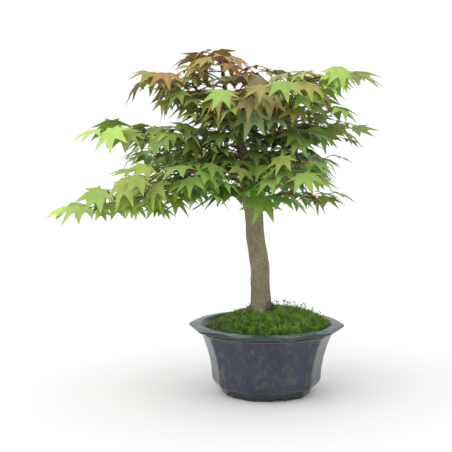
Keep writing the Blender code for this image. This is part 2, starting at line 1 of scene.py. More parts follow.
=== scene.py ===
"""Looks of a Japanese maple bonsai in a ten-sided glazed pot, laid out as a Blender add-on, run as a script.

Every piece is modelled in millimetres about the pot's axis, with z = 0 on the surface that the pot stands on,
and is moved into the frame when it is finished.
"""

import math
import random
from functools import partial

import bmesh
import bpy
import numpy as np
from mathutils import Matrix, Vector, noise
from mathutils.bvhtree import BVHTree


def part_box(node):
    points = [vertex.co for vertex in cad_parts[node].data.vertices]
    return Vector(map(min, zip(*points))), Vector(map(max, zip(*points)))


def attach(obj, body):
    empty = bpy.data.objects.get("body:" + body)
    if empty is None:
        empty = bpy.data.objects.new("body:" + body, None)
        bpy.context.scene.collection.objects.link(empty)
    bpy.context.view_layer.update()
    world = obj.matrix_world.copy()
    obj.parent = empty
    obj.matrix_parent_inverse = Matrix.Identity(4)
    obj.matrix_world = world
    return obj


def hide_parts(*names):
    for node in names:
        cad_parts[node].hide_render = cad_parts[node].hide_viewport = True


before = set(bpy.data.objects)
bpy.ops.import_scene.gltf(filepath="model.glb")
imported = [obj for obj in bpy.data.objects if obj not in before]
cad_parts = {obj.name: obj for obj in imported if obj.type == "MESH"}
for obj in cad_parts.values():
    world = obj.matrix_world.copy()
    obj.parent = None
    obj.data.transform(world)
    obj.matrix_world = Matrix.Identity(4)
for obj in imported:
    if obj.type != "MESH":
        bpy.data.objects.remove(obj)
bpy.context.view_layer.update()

bl_info = {
    "name": "Maple bonsai",
    "version": (1, 0, 0),
    "blender": (4, 5, 0),
    "location": "3D View > Sidebar > Bonsai",
    "description": "Builds a maple bonsai in a glazed pot around its fixed frame",
    "category": "Add Mesh",
}

MM = 0.001
BODY = "root"
POT_LOW, POT_HIGH = (Vector(corner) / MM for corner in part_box("pot"))
AXIS = (POT_LOW + POT_HIGH) / 2
AXIS.z = POT_LOW.z
TO_FRAME = Matrix.Scale(MM, 4) @ Matrix.Translation(AXIS)

# The pot. Its reach and the level it stands on come from the frame, the rest follows a 20 cm bonsai pot.
POT_SIDES = 10
SIDE_STEPS = 20
POT_TURN = math.radians(-1.6)
RIM_RADIUS = (POT_HIGH.x - POT_LOW.x) / 2
RIM_CREST = 93.0
RIM_BORE = 84.5
RIM_TOP = 90.8
LIP_TOP = 89.0
LIP_SCALLOP = 1.3
LIP_SAG = 1.1  # how much lower the lip's underside is in the middle of a side
LIP_SAG_FROM = 91.0  # radius
SIDE_HOLLOW = 0.012
CORNER_POWER = 110  # a higher power makes a sharper corner between two sides
WALL_TOP_RADIUS = 87.5
WALL_TOP = 82.0
WALL_FLARE = 1.7
WALL_THICKNESS = 5.0
BEAD_HEIGHT = 81.2  # of the thin moulding under the lip
BELLY_RADIUS = 71.5
BELLY_TOP = 23.0
FOOT_RADIUS = 58.0
FOOT_NECK_RADIUS = 60.0
FOOT_HEIGHT = 8.0
FOOT_BORE = 50.0
RECESS_HEIGHT = 5.0
FLOOR_TOP = 12.0
NOTCHES = 5
NOTCH_WIDTH = 17.5
NOTCH_HEIGHT = 4.2
NOTCH_DEPTH = 24.0
DRAIN_RADIUS = 11.0
WALL_GLOSS = 0.5
RIM_GLOSS = 0.2  # the glaze ran off the rim and left it satin
RIM_GLAZE_FROM = 83.0
# Heights between which one finish turns into the next.
THIN_UNDER_LIP = (79.5, 81.2)
RIM_GLAZE = (84.2, 87.2)
BARE_FOOT = (3.5, 8.5)

# The mound of soil and moss.
THROAT_SLOPE = 0.66
FILLING_GAP = 0.45
SOIL_EDGE = 83.0
SOIL_CENTRE = 103.0
MOSS_COVER = 4.3
MOUND_POWER = 2.6
MOSS_FRINGE = 9.0  # width of the outermost ring, whose sprigs lean out
MOSS_SEED = 3
TRUNK_CLEAR = 12.0  # no sprigs closer to the trunk's middle than this
CAPSULE_HEIGHT = 7.5
MOSS_TILT = 3.4  # how much higher the cushion is at the right wall than over the pot's axis

# The wood, as in the frame's solids: +X right, +Y back, +Z up.
TRUNK_PATH = [
    (-7, 0, 81), (-7, 0, 103), (-7.5, 0, 126), (-8.4, 0, 146), (-8.2, 0, 162), (-11, 0, 180), (-14, 0, 198),
    (-15.4, 0, 214), (-16.5, 0, 232), (-20, 1, 249), (-23, 3, 269), (-26, 4, 291), (-32, 2, 315),
    (-40, -2, 340), (-48, -4, 368), (-54, -3, 398), (-58, -2, 427),
]
TRUNK_RADII = [14.5, 14.5, 13, 12.4, 12.4, 12.2, 12, 11.8, 11.8, 11.8, 10.4, 8.2, 6.4, 4.8, 3.4, 2.4, 1.9]
ROOTS = [  # direction round the trunk in degrees, reach, radius
    (272, 24, 3.4),
    (190, 27, 4.6),
    (342, 25, 4.2),
    (62, 25, 4.2),
    (128, 24, 3.8),
]
ROOT_COURSE = [(0.16, 11), (0.46, 2.5), (0.74, -3), (1.0, -11)]  # share of the reach, height over the moss
ROOT_TAPER = [1.3, 1.1, 0.8, 0.5]
BRANCHES = {  # name: radius at its start, radius at its tip, points
    "branch_left_low": (
        4.4,
        1.8,
        [(-22, 3, 261), (-52, -6, 265), (-92, -16, 265), (-138, -22, 259), (-188, -22, 248)],
    ),
    "branch_left_mid": (
        3.8,
        1.8,
        [(-26, 4, 290), (-55, 7, 307), (-92, 4, 323), (-125, -1, 333), (-151, -5, 335)],
    ),
    "branch_left_back": (3.8, 1.8, [(-24, 3, 275), (-47, 30, 289), (-79, 54, 298), (-111, 66, 299)]),
    "branch_left_front": (3.6, 1.8, [(-23, 3, 269), (-45, -30, 280), (-77, -52, 285), (-109, -62, 281)]),
    "branch_right_main": (
        5.0,
        1.8,
        [(-20, 2, 253), (-8, 4, 275), (4, 7, 303), (14, 8, 334), (30, 6, 370), (52, 2, 404)],
    ),
    "branch_right_low": (3.2, 1.8, [(-19, 1, 243), (1, -9, 254), (23, -17, 260)]),
    "branch_right_back": (3.6, 1.8, [(-23, 3, 273), (-5, 30, 291), (18, 54, 303)]),
    "branch_right_front": (3.2, 1.8, [(-22, 3, 265), (-12, -28, 280), (8, -54, 288)]),
    "branch_right_mid": (2.8, 1.8, [(14, 8, 334), (27, 14, 340), (41, 18, 342)]),
    "branch_top_left": (3.0, 1.8, [(-37, 0, 327), (-57, -9, 353), (-79, -14, 379), (-95, -16, 398)]),
    "branch_top_back": (3.0, 1.8, [(-34, 1, 321), (-31, 28, 352), (-21, 50, 380)]),
    "branch_top_front": (3.0, 1.8, [(-40, -1, 334), (-35, -27, 360), (-18, -48, 382)]),
}
SHOOTS = {  # name of the wood it grows from: share along it, turn to the side in degrees, lift, length
    "trunk": [(0.53, 100, -4, 34), (0.83, 100, 14, 44), (0.92, -160, 18, 38), (0.995, -30, 20, 24)],
    "branch_left_low": [
        (0.30, -62, 4, 50),
        (0.48, 58, 6, 50),
        (0.66, -54, 4, 50),
        (0.82, 52, 4, 48),
        (0.995, 4, -4, 54),
    ],
    "branch_left_mid": [(0.42, -60, 10, 48), (0.60, 56, 8, 48), (0.80, -52, 6, 46), (0.995, 0, 0, 50)],
    "branch_left_back": [(0.48, 55, 6, 48), (0.74, -54, 6, 48), (0.995, 0, 0, 50)],
    "branch_left_front": [(0.46, -56, 6, 48), (0.72, 56, 6, 48), (0.995, 0, -4, 50)],
    "branch_right_main": [
        (0.42, 60, 8, 46),
        (0.62, -120, 12, 44),
        (0.78, 70, 14, 44),
        (0.88, -70, 16, 44),
        (0.995, -4, 8, 50),
    ],
    "branch_right_low": [(0.60, -50, 0, 42), (0.995, 4, -2, 46)],
    "branch_right_back": [(0.50, -60, 8, 46), (0.78, 56, 8, 46), (0.995, 0, 0, 46)],
    "branch_right_front": [(0.56, 62, 6, 44), (0.995, 0, -4, 44)],
    "branch_right_mid": [(0.995, 0, -2, 46)],
    "branch_top_left": [(0.50, 64, 10, 44), (0.74, -56, 10, 44), (0.995, 0, 8, 46)],
    "branch_top_back": [(0.56, -62, 10, 44), (0.80, 60, 12, 44), (0.995, 0, 8, 46)],
    "branch_top_front": [(0.56, 62, 10, 44), (0.80, -60, 12, 44), (0.995, 0, 8, 46)],
}

# The leaf that the frame's solids stand in for.
LEAF_LENGTH = 36.0
SIDE_LOBES = [(42, 33.0), (84, 25.0)]
LEAF_NOTCHES = [(21, 16.0), (63, 14.5), (124, 8.0)]
LEAF_BASE = 2.5
LEAF_HALF_THICKNESS = 0.7
PETIOLE_RADIUS = 0.7
STEM_RADII = [1.1, 1.2, 1.1, 1.0]
LEAF_NODES = [(0.93, 0), (0.76, 62), (0.74, -62), (0.44, 62), (0.42, -62)]  # share along the stem, turn
TIP_SHARE = 0.98
CLEARANCE = 1.0
LEAF_TRIES = 46
STEM_TRIES = 24
LEAF_SEED = 11
ROD_PLATES = 4
ROD_SAMPLES = 6

# The real leaf: lobes as (middle, length, notch on its near side, notch on its far side, teeth), right half
# only. Angles are degrees off the middle lobe, lengths and radii millimetres.
LOBES = [
    (42, 33.0, (21, 15.0), (63, 13.5), 1),
    (84, 25.0, (63, 13.5), (109, 8.0), 0),
]
BASAL_LOBES = (11.0, 6.5)  # lengths of the smallest pair, beside the stalk, on the two kinds of leaf
MIDDLE_LOBE = (0, 36.0, (-21, 15.0), (21, 15.0), 1)
BLADE_THICKNESS = 0.35
BASAL_SHARE = 0.4  # of leaves with the shorter basal lobes
LOOKS_SEED = 8
TOOTH_OUT = 1.14
TOOTH_IN = 0.86
SEAM = 0.02  # points of a leaf closer than this are one
BLADE_FOLD = 0.20  # how far the margins stand over the midribs, as a share of a lobe's half width

# More leaves than the frame's solids stand in for, wherever there is room.
LONG_TWIGS = {  # wood: share along it, turn to the side in degrees, lift, length
    "branch_right_main": [
        (0.80, 150, 34, 52),
        (0.93, 120, 26, 50),
        (0.95, -150, 24, 48),
        (0.97, -60, 12, 52),
        (0.97, 55, 10, 52),
        (0.70, -30, 2, 70),
        (0.56, 24, -4, 78),
    ],
    "branch_right_mid": [(0.90, -28, 4, 62), (0.85, 30, 8, 56)],
    "branch_right_back": [(0.90, -52, 6, 66)],
    "branch_right_front": [(0.90, 8, 22, 54)],
    "branch_top_back": [(0.95, -70, 16, 54), (0.90, -30, 22, 50)],
    "branch_top_front": [(0.95, 70, 16, 54), (0.90, 30, 24, 46)],
    "branch_top_left": [(0.92, 20, 18, 44), (0.80, -20, 4, 52)],
    "branch_left_mid": [(0.62, -10, 22, 54), (0.55, 20, 24, 52)],
    "branch_left_back": [(0.92, 12, 16, 50)],
    "branch_left_front": [(0.92, -12, 14, 50)],
}
SPRAY_SPACING = {"branch_left_low": 16.0, "branch_right_low": 60.0, "branch_right_front": 24.0}
USUAL_SPACING = 7.0
SPRAY_NODES = [(0.95, 0), (0.76, 64), (0.74, -64), (0.44, 66), (0.42, -66)]
SPRAY_SEED = 5
SPRAY_LEAF = (0.9, (-4, 34), 0.1)  # size, least and most tilt in degrees, clearance
BASAL_LEAF = (0.74, (-4, 40), 0.1)


def linear(channel):
    return channel / 12.92 if channel <= 0.04045 else ((channel + 0.055) / 1.055) ** 2.4


def colour(code):
    """An sRGB hex colour as linear red, green and blue."""
    return tuple(linear(int(code[i : i + 2], 16) / 255) for i in (1, 3, 5))


def mix(a, b, share):
    return tuple(x + (y - x) * share for x, y in zip(a, b))


BLACK = (0, 0, 0)
GLAZE_MILK = (0.1, 0.1, 0.16)  # the linear colour that bubbles in the glaze lift it towards


# --- settings ----------------------------------------------------------------------------------


class BonsaiPot(bpy.types.PropertyGroup):
    """Glaze of the pot."""

    glaze: bpy.props.FloatVectorProperty(
        name="Glaze", description="Colour of the glaze where it is thick", subtype="COLOR",
        size=3, default=colour("#252d3f"),
    )
    break_colour: bpy.props.FloatVectorProperty(
        name="Break", description="Olive that the glaze breaks to where it is thin", subtype="COLOR",
        size=3, default=colour("#6c6b4c"),
    )
    rim_glaze: bpy.props.FloatVectorProperty(
        name="Rim glaze", description="Blue-green of the glaze on the rim", subtype="COLOR",
        size=3, default=colour("#1f3f4a"),
    )
    foot_clay: bpy.props.FloatVectorProperty(
        name="Foot clay", description="Bare dark clay of the foot", subtype="COLOR",
        size=3, default=colour("#33342a"),
    )
    edge_width: bpy.props.FloatProperty(
        name="Edge width", description="How wide the glaze rounds each edge, in millimetres",
        default=0.55, min=0.1,
    )


class BonsaiMoss(bpy.types.PropertyGroup):
    """Moss cushion."""

    spacing: bpy.props.FloatProperty(
        name="Spacing", description="Distance between sprigs, in millimetres", default=2.3, min=1.5,
    )
    height: bpy.props.FloatProperty(
        name="Sprig height", description="Height of a usual sprig, in millimetres", default=7.0, min=2.0,
    )
    stalks: bpy.props.IntProperty(
        name="Stalks", description="Number of stalks with a spore capsule", default=90, min=0,
    )
    bright: bpy.props.FloatVectorProperty(
        name="Bright", description="Colour of fresh sprigs", subtype="COLOR",
        size=3, default=colour("#8dbb45"),
    )
    dark: bpy.props.FloatVectorProperty(
        name="Dark", description="Colour of older sprigs", subtype="COLOR", size=3, default=colour("#2f5617"),
    )


class BonsaiTree(bpy.types.PropertyGroup):
    """Wood and leaves."""

    bark: bpy.props.FloatVectorProperty(
        name="Bark", description="Grey-brown of the old bark", subtype="COLOR",
        size=3, default=colour("#8c8462"),
    )
    voxel: bpy.props.FloatProperty(
        name="Wood voxel", description="Grid that the trunk and its roots are fused on, in millimetres",
        default=0.9, min=0.5,
    )
    # Painted shade: the darker green given to leaves inside the crown.
    shaded_green: bpy.props.FloatVectorProperty(
        name="Deep green", description="Leaves inside the crown", subtype="COLOR",
        size=3, default=colour("#5f7f2f"),
    )
    mid_green: bpy.props.FloatVectorProperty(
        name="Mid green", description="Grown leaves", subtype="COLOR", size=3, default=colour("#7fa044"),
    )
    # Lime is the colour of young leaves, and at the left it also stands in for painted glow of light passing
    # through the leaves.
    lime: bpy.props.FloatVectorProperty(
        name="Lime", description="Young leaves at the ends of branches", subtype="COLOR",
        size=3, default=colour("#aaca5c"),
    )
    bronze: bpy.props.FloatVectorProperty(
        name="Bronze", description="Youngest leaves at the top", subtype="COLOR",
        size=3, default=colour("#a89a4c"),
    )


class BonsaiStage(bpy.types.PropertyGroup):
    """Floor, light and camera."""

    sky: bpy.props.FloatProperty(
        name="Sky", description="Strength of the even white light from all round", default=1.0, min=0.0,
    )
    key: bpy.props.FloatProperty(
        name="Key", description="Strength of the soft light from the upper left", default=0.7, min=0.0,
    )
    distance: bpy.props.FloatProperty(
        name="Camera distance", description="From the pot's axis to the camera", default=1.408, unit="LENGTH",
    )
    height: bpy.props.FloatProperty(
        name="Camera height", description="Above the surface that the pot stands on",
        default=0.358, unit="LENGTH",
    )
    lens: bpy.props.FloatProperty(
        name="Lens", description="Focal length on a 36 mm wide sensor", default=87.6, unit="CAMERA",
    )


# --- materials ---------------------------------------------------------------------------------


def fill(tree, socket, value):
    """Gives an input a number, a colour or a link. Of a node, the first output that is in use is linked."""
    if isinstance(value, bpy.types.Node):
        value = next(output for output in value.outputs if output.enabled)
    if isinstance(value, bpy.types.NodeSocket):
        tree.links.new(value, socket)
    else:
        socket.default_value = (*value, 1) if socket.type == "RGBA" else value


def add_node(tree, kind, inputs=None, **settings):
    """Adds a node, sets its properties and fills its inputs."""
    made = tree.nodes.new(kind)
    for name, value in settings.items():
        setattr(made, name, value)
    for name, value in (inputs or {}).items():
        fill(tree, made.inputs[name], value)
    return made


def set_shader(made, **sockets):
    """Fills the named sockets of a material's Principled shader."""
    shader = made.node_tree.nodes["Principled BSDF"]
    for name, value in sockets.items():
        fill(made.node_tree, shader.inputs[name.replace("_", " ")], value)
    return made


def new_material(name, **sockets):
    """A material whose shader's sockets take these constants, and the tool that adds nodes to it."""
    made = bpy.data.materials.new(name)
    made.use_nodes = True
    return set_shader(made, **sockets), partial(add_node, made.node_tree)


def set_stops(ramp, *stops):
    """Places the stops of a two-colour ramp: where each one is, and its colour."""
    for element, (where, shade) in zip(ramp.color_ramp.elements, stops):
        element.position = where
        element.color = (*shade, 1)


def glazed_stoneware(name, pot, gloss):
    """Stoneware, dipped in a dark blue glaze and fired: glassy, pooled dark blue on the sides, broken to
    olive where it ran thin, blue-green on the rim, and bare dark clay on the foot."""
    made, add = new_material(name, IOR=1.5, Specular_IOR_Level=gloss)
    place = add("ShaderNodeTexCoord").outputs["Object"]
    height = add("ShaderNodeSeparateXYZ", {"Vector": place}).outputs["Z"]
    # Runs are about 8 mm wide and twice as long, because the glaze flows down in the kiln.
    runs = add("ShaderNodeMapping", {"Vector": place, "Scale": (1, 1, 0.55)})
    patches = add(
        "ShaderNodeTexNoise",
        {"Vector": runs, "Scale": 120, "Detail": 8, "Roughness": 0.72, "Distortion": 0.2},
    )
    broken = add(
        "ShaderNodeMapRange",
        {"Value": patches, "From Min": 0.48, "From Max": 0.76, "To Min": 0, "To Max": 0.85},
    )
    # The glaze breaks in drifts a few centimetres wide.
    clouds = add("ShaderNodeTexNoise", {"Vector": place, "Scale": 28, "Detail": 3})
    drifts = add(
        "ShaderNodeMapRange",
        {"Value": clouds, "From Min": 0.38, "From Max": 0.62, "To Min": 0.05, "To Max": 1},
    )
    spread = add("ShaderNodeMath", {0: broken, 1: drifts}, operation="MULTIPLY")
    depth = add(
        "ShaderNodeMix",
        {"Factor": clouds, "A": mix(pot.glaze, BLACK, 0.35), "B": mix(pot.glaze, GLAZE_MILK, 0.25)},
        data_type="RGBA",
    )
    shown = add("ShaderNodeMix", {"Factor": spread, "A": depth, "B": pot.break_colour}, data_type="RGBA")
    rim = add(
        "ShaderNodeMix",
        {"Factor": clouds, "A": pot.rim_glaze, "B": mix(pot.rim_glaze, pot.break_colour, 0.35)},
        data_type="RGBA",
    )
    for (low, high), (below, above), over in (
        (THIN_UNDER_LIP, (0, 0.8), colour("#6a6450")),
        (RIM_GLAZE, (0, 1), rim),
        (BARE_FOOT, (1, 0), pot.foot_clay),
    ):
        amount = add(
            "ShaderNodeMapRange",
            {"Value": height, "From Min": low * MM, "From Max": high * MM, "To Min": below, "To Max": above},
        )
        shown = add("ShaderNodeMix", {"Factor": amount, "A": shown, "B": over}, data_type="RGBA")
    # Broken patches are drier than the pooled glaze.
    dry = add(
        "ShaderNodeMapRange",
        {"Value": patches, "From Min": 0.4, "From Max": 0.7, "To Min": 0.2, "To Max": 0.36},
    )
    ripple = add("ShaderNodeTexNoise", {"Vector": runs, "Scale": 120, "Detail": 3})
    bump = add("ShaderNodeBump", {"Height": ripple, "Strength": 0.35, "Distance": 0.0004})
    return set_shader(made, Base_Color=shown, Roughness=dry, Normal=bump)


def moulded_polypropylene():
    """Polypropylene, injection moulded: dark green, dull, with a faint grain."""
    made, add = new_material("moulded_polypropylene", Base_Color=colour("#26302a"), Roughness=0.5)
    place = add("ShaderNodeTexCoord").outputs["Object"]
    grain = add("ShaderNodeTexNoise", {"Vector": place, "Scale": 2500, "Detail": 2})
    bump = add("ShaderNodeBump", {"Height": grain, "Strength": 0.3, "Distance": 0.0001})
    return set_shader(made, Normal=bump)


def loose_grains(name, grain_mm, pale, dark):
    """Crushed grains lying loose: cells of the grain's size, each its own tone, with painted shade, near
    black, in the gaps between.
    """
    made, add = new_material(name, Roughness=0.95)
    place = add("ShaderNodeTexCoord").outputs["Object"]
    grain = grain_mm * MM
    cells = add("ShaderNodeTexVoronoi", {"Vector": place, "Scale": 1 / grain})
    tone = add("ShaderNodeMix", {"Factor": cells.outputs["Color"], "A": pale, "B": dark}, data_type="RGBA")
    # Painted shade: the gaps between the grains are darkened towards black.
    gap_shade = add(
        "ShaderNodeMapRange",
        {"Value": cells, "From Min": 0.35, "From Max": 0.65, "To Min": 0, "To Max": 0.8},
    )
    shown = add("ShaderNodeMix", {"Factor": gap_shade, "A": tone, "B": mix(dark, BLACK, 0.7)}, data_type="RGBA")
    bump = add("ShaderNodeBump", {"Height": cells, "Strength": 0.9, "Distance": 0.4 * grain}, invert=True)
    return set_shader(made, Base_Color=shown, Normal=bump)


def moss_bed(moss):
    """The felt of old stems under the sprigs: dark green to brown, quite matte."""
    made, add = new_material("moss_bed", Roughness=1.0)
    place = add("ShaderNodeTexCoord").outputs["Object"]
    patches = add("ShaderNodeTexNoise", {"Vector": place, "Scale": 140, "Detail": 5, "Roughness": 0.7})
    tone = add("ShaderNodeValToRGB", {"Fac": patches})
    set_stops(tone, (0.38, colour("#2a2210")), (0.62, moss.dark))
    bump = add("ShaderNodeBump", {"Height": patches, "Strength": 1.0, "Distance": 0.002})
    return set_shader(made, Base_Color=tone, Normal=bump)


def tinted(name, roughness):
    """Skin of moss: matte, with the colour that each copy carries in its own attribute, lightly clouded."""
    made, add = new_material(name, Roughness=roughness)
    tint = add("ShaderNodeAttribute", attribute_name="tint")
    place = add("ShaderNodeTexCoord").outputs["Object"]
    clouds = add("ShaderNodeTexNoise", {"Vector": place, "Scale": 300, "Detail": 2})
    lift = add("ShaderNodeMapRange", {"Value": clouds, "To Min": 0.75, "To Max": 1.25})
    shown = add("ShaderNodeVectorMath", {0: tint, "Scale": lift}, operation="SCALE")
    return set_shader(made, Base_Color=shown)


def maple_bark(tree):
    """Maple bark: smooth and thin, grey-brown, marked with short level lenticels, and dark at the old scars
    just over the roots."""
    made, add = new_material("maple_bark", Roughness=0.85)
    place = add("ShaderNodeTexCoord").outputs["Object"]
    # Lenticels are level dashes about 1 mm high and 4 mm long.
    level = add("ShaderNodeMapping", {"Vector": place, "Scale": (1, 1, 4.2)})
    dashes = add("ShaderNodeTexNoise", {"Vector": level, "Scale": 230, "Detail": 5, "Roughness": 0.65})
    clouds = add("ShaderNodeTexNoise", {"Vector": place, "Scale": 60, "Detail": 5, "Roughness": 0.6})
    tone = add(
        "ShaderNodeMix",
        {"Factor": clouds, "A": mix(tree.bark, BLACK, 0.40), "B": mix(tree.bark, colour("#b3ad92"), 0.45)},
        data_type="RGBA",
    )
    marks = add(
        "ShaderNodeMapRange",
        {"Value": dashes, "From Min": 0.34, "From Max": 0.52, "To Min": 0.8, "To Max": 0},
    )
    shown = add("ShaderNodeMix", {"Factor": marks, "A": tone, "B": colour("#55503c")}, data_type="RGBA")
    for spot, reach, code in [(*scar, "#2b261c") for scar in SCARS] + [PALE_ROOT]:
        away = add("ShaderNodeVectorMath", {0: place, 1: TO_FRAME @ Vector(spot)}, operation="DISTANCE")
        near, far = reach * 0.6 * MM, reach * 1.3 * MM
        inside = add(
            "ShaderNodeMapRange",
            {"Value": away, "From Min": near, "From Max": far, "To Min": 0.9, "To Max": 0},
        )
        shown = add("ShaderNodeMix", {"Factor": inside, "A": shown, "B": colour(code)}, data_type="RGBA")
    bump = add("ShaderNodeBump", {"Height": dashes, "Strength": 0.6, "Distance": 0.0007})
    return set_shader(made, Base_Color=shown, Normal=bump)


def young_bark():
    """Bark of twigs a few years old: thin, red-brown to near black, with a dull skin."""
    made, add = new_material("young_bark", Roughness=0.6)
    place = add("ShaderNodeTexCoord").outputs["Object"]
    clouds = add("ShaderNodeTexNoise", {"Vector": place, "Scale": 110, "Detail": 4})
    tone = add("ShaderNodeValToRGB", {"Fac": clouds})
    set_stops(tone, (0.35, colour("#33271f")), (0.68, colour("#6b5340")))
    bump = add("ShaderNodeBump", {"Height": clouds, "Strength": 0.5, "Distance": 0.0006})
    return set_shader(made, Base_Color=tone, Normal=bump)


def red_stalk():
    """Skin of this year's shoots and leaf stalks: waxy, crimson in the sun, else green-brown."""
    made, add = new_material("red_stalk", Roughness=0.42)
    place = add("ShaderNodeTexCoord").outputs["Object"]
    clouds = add("ShaderNodeTexNoise", {"Vector": place, "Scale": 45, "Detail": 2})
    tone = add("ShaderNodeValToRGB", {"Fac": clouds})
    set_stops(tone, (0.36, colour("#6f5a34")), (0.56, colour("#a23c33")))
    return set_shader(made, Base_Color=tone)


def leaf_skin(name, paler, roughness):
    """Maple leaf: thin and soft, satin above and matte below, each leaf its own green, with paler veins along
    and across every lobe and a red flush at the margins of the youngest."""
    made, add = new_material(name, Roughness=roughness, IOR=1.42)
    tint = add("ShaderNodeAttribute", attribute_name="tint")
    lobe = add("ShaderNodeSeparateXYZ", {"Vector": add("ShaderNodeUVMap", uv_map="lobe")})
    off = add("ShaderNodeMath", {0: lobe.outputs["Y"], 1: 0.5}, operation="SUBTRACT")
    side = add("ShaderNodeMath", {0: off}, operation="ABSOLUTE")
    midrib = add(
        "ShaderNodeMapRange",
        {"Value": side, "From Min": 0.015, "From Max": 0.07, "To Min": 0.55, "To Max": 0},
    )
    # Side veins leave the midrib about every 3 mm and run forward to the margin.
    run = add("ShaderNodeMath", {0: side, 1: -1.6, 2: lobe.outputs["X"]}, operation="MULTIPLY_ADD")
    wave = add("ShaderNodeMath", {0: run, 1: 62.0}, operation="MULTIPLY")
    ridge = add("ShaderNodeMath", {0: wave}, operation="SINE")
    veins = add(
        "ShaderNodeMapRange",
        {"Value": ridge, "From Min": 0.72, "From Max": 1.0, "To Min": 0, "To Max": 0.22},
    )
    lines = add("ShaderNodeMath", {0: midrib, 1: veins}, operation="MAXIMUM")
    place = add("ShaderNodeTexCoord").outputs["Object"]
    clouds = add("ShaderNodeTexNoise", {"Vector": place, "Scale": 90, "Detail": 4})
    lift = add("ShaderNodeMapRange", {"Value": clouds, "To Min": 0.72, "To Max": 1.30})
    flesh = add("ShaderNodeVectorMath", {0: tint, "Scale": lift}, operation="SCALE")
    pale = add("ShaderNodeMix", {"Factor": paler, "A": flesh, "B": colour("#a9b48a")}, data_type="RGBA")
    veined = add("ShaderNodeMix", {"Factor": lines, "A": pale, "B": colour("#b9c489")}, data_type="RGBA")
    margin = add(
        "ShaderNodeMapRange",
        {"Value": side, "From Min": 0.12, "From Max": 0.5, "To Min": 0.15, "To Max": 1},
    )
    flush = add("ShaderNodeAttribute", attribute_name="flush").outputs["Fac"]
    flushed = add("ShaderNodeMath", {0: margin, 1: flush}, operation="MULTIPLY")
    shown = add("ShaderNodeMix", {"Factor": flushed, "A": veined, "B": colour("#bd5f34")}, data_type="RGBA")
    bump = add("ShaderNodeBump", {"Height": lines, "Strength": 0.5, "Distance": 0.0003}, invert=True)
    return set_shader(made, Base_Color=shown, Normal=bump)


# --- modelling tools ---------------------------------------------------------------------------


def start_piece(name):
    """Names the object that was just added, which is then the active one."""
    made = bpy.context.object
    made.name = made.data.name = name
    return made


def deselect():
    bpy.ops.object.select_all(action="DESELECT")


def take(first, *others):
    """Selects the first object and the others, and nothing else, and makes the first one active."""
    deselect()
    for obj in (first, *others):
        obj.select_set(True)
    bpy.context.view_layer.objects.active = first


def edit(obj):
    take(obj)
    bpy.ops.object.mode_set(mode="EDIT")
    bpy.ops.mesh.select_all(action="SELECT")


def merge(distance, turn_outwards=True):
    """Ends editing, with all points closer than a distance merged and the faces turned outwards."""
    bpy.ops.mesh.remove_doubles(threshold=distance)
    if turn_outwards:
        bpy.ops.mesh.normals_make_consistent(inside=False)
    bpy.ops.object.mode_set(mode="OBJECT")


def join(first, others):
    take(first, *others)
    bpy.ops.object.join()
    return first


def apply_modifiers(obj):
    bpy.context.view_layer.objects.active = obj
    for modifier in list(obj.modifiers):
        bpy.ops.object.modifier_apply(modifier=modifier.name)


def lathe(name, profile, steps):
    """Traces (radius, height) points as a chain of edges and spins it round the pot's axis."""
    deselect()
    bpy.ops.mesh.primitive_plane_add(size=1)
    made = start_piece(name)
    edit(made)
    bpy.ops.mesh.merge(type="CENTER")
    points = [Vector((r, 0, z)) for r, z in profile]
    bpy.ops.transform.translate(value=points[0])
    for a, b in zip(points, points[1:]):
        bpy.ops.mesh.extrude_vertices_move(TRANSFORM_OT_translate={"value": b - a})
    bpy.ops.mesh.select_all(action="SELECT")
    bpy.ops.mesh.spin(steps=steps, angle=2 * math.pi, center=(0, 0, 0), axis=(0, 0, 1))
    bpy.ops.mesh.select_all(action="SELECT")
    merge(0.01)
    return made


def tubes(name, runs, detail):
    """Round tubes with closed ends, each along a run of (point, radius) pairs, in one mesh object."""
    curve = bpy.data.curves.new(name, "CURVE")
    curve.dimensions = "3D"
    curve.bevel_depth = 1.0
    curve.bevel_resolution = detail
    curve.use_fill_caps = True
    for run in runs:
        spline = curve.splines.new("POLY")
        spline.points.add(len(run) - 1)
        for place, (point, radius) in zip(spline.points, run):
            place.co = (*point, 1)
            place.radius = radius
    made = bpy.data.objects.new(name, curve)
    bpy.context.scene.collection.objects.link(made)
    take(made)
    bpy.ops.object.convert(target="MESH")
    made = start_piece(name)
    edit(made)
    merge(0.002)
    return made


def finish_piece(obj, replaced=(), smooth=None):
    """Moves a finished piece into the frame, shades it, puts it under the body's empty, and hides the frame's
    parts that it replaces.
    """
    obj.data.transform(TO_FRAME)
    take(obj)
    if smooth is None:
        bpy.ops.object.shade_smooth()
    else:
        bpy.ops.object.shade_smooth_by_angle(angle=math.radians(smooth))
    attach(obj, BODY)
    if replaced:
        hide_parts(*replaced)


def dress(obj, *materials):
    obj.data.materials.clear()
    for made in materials:
        obj.data.materials.append(made)


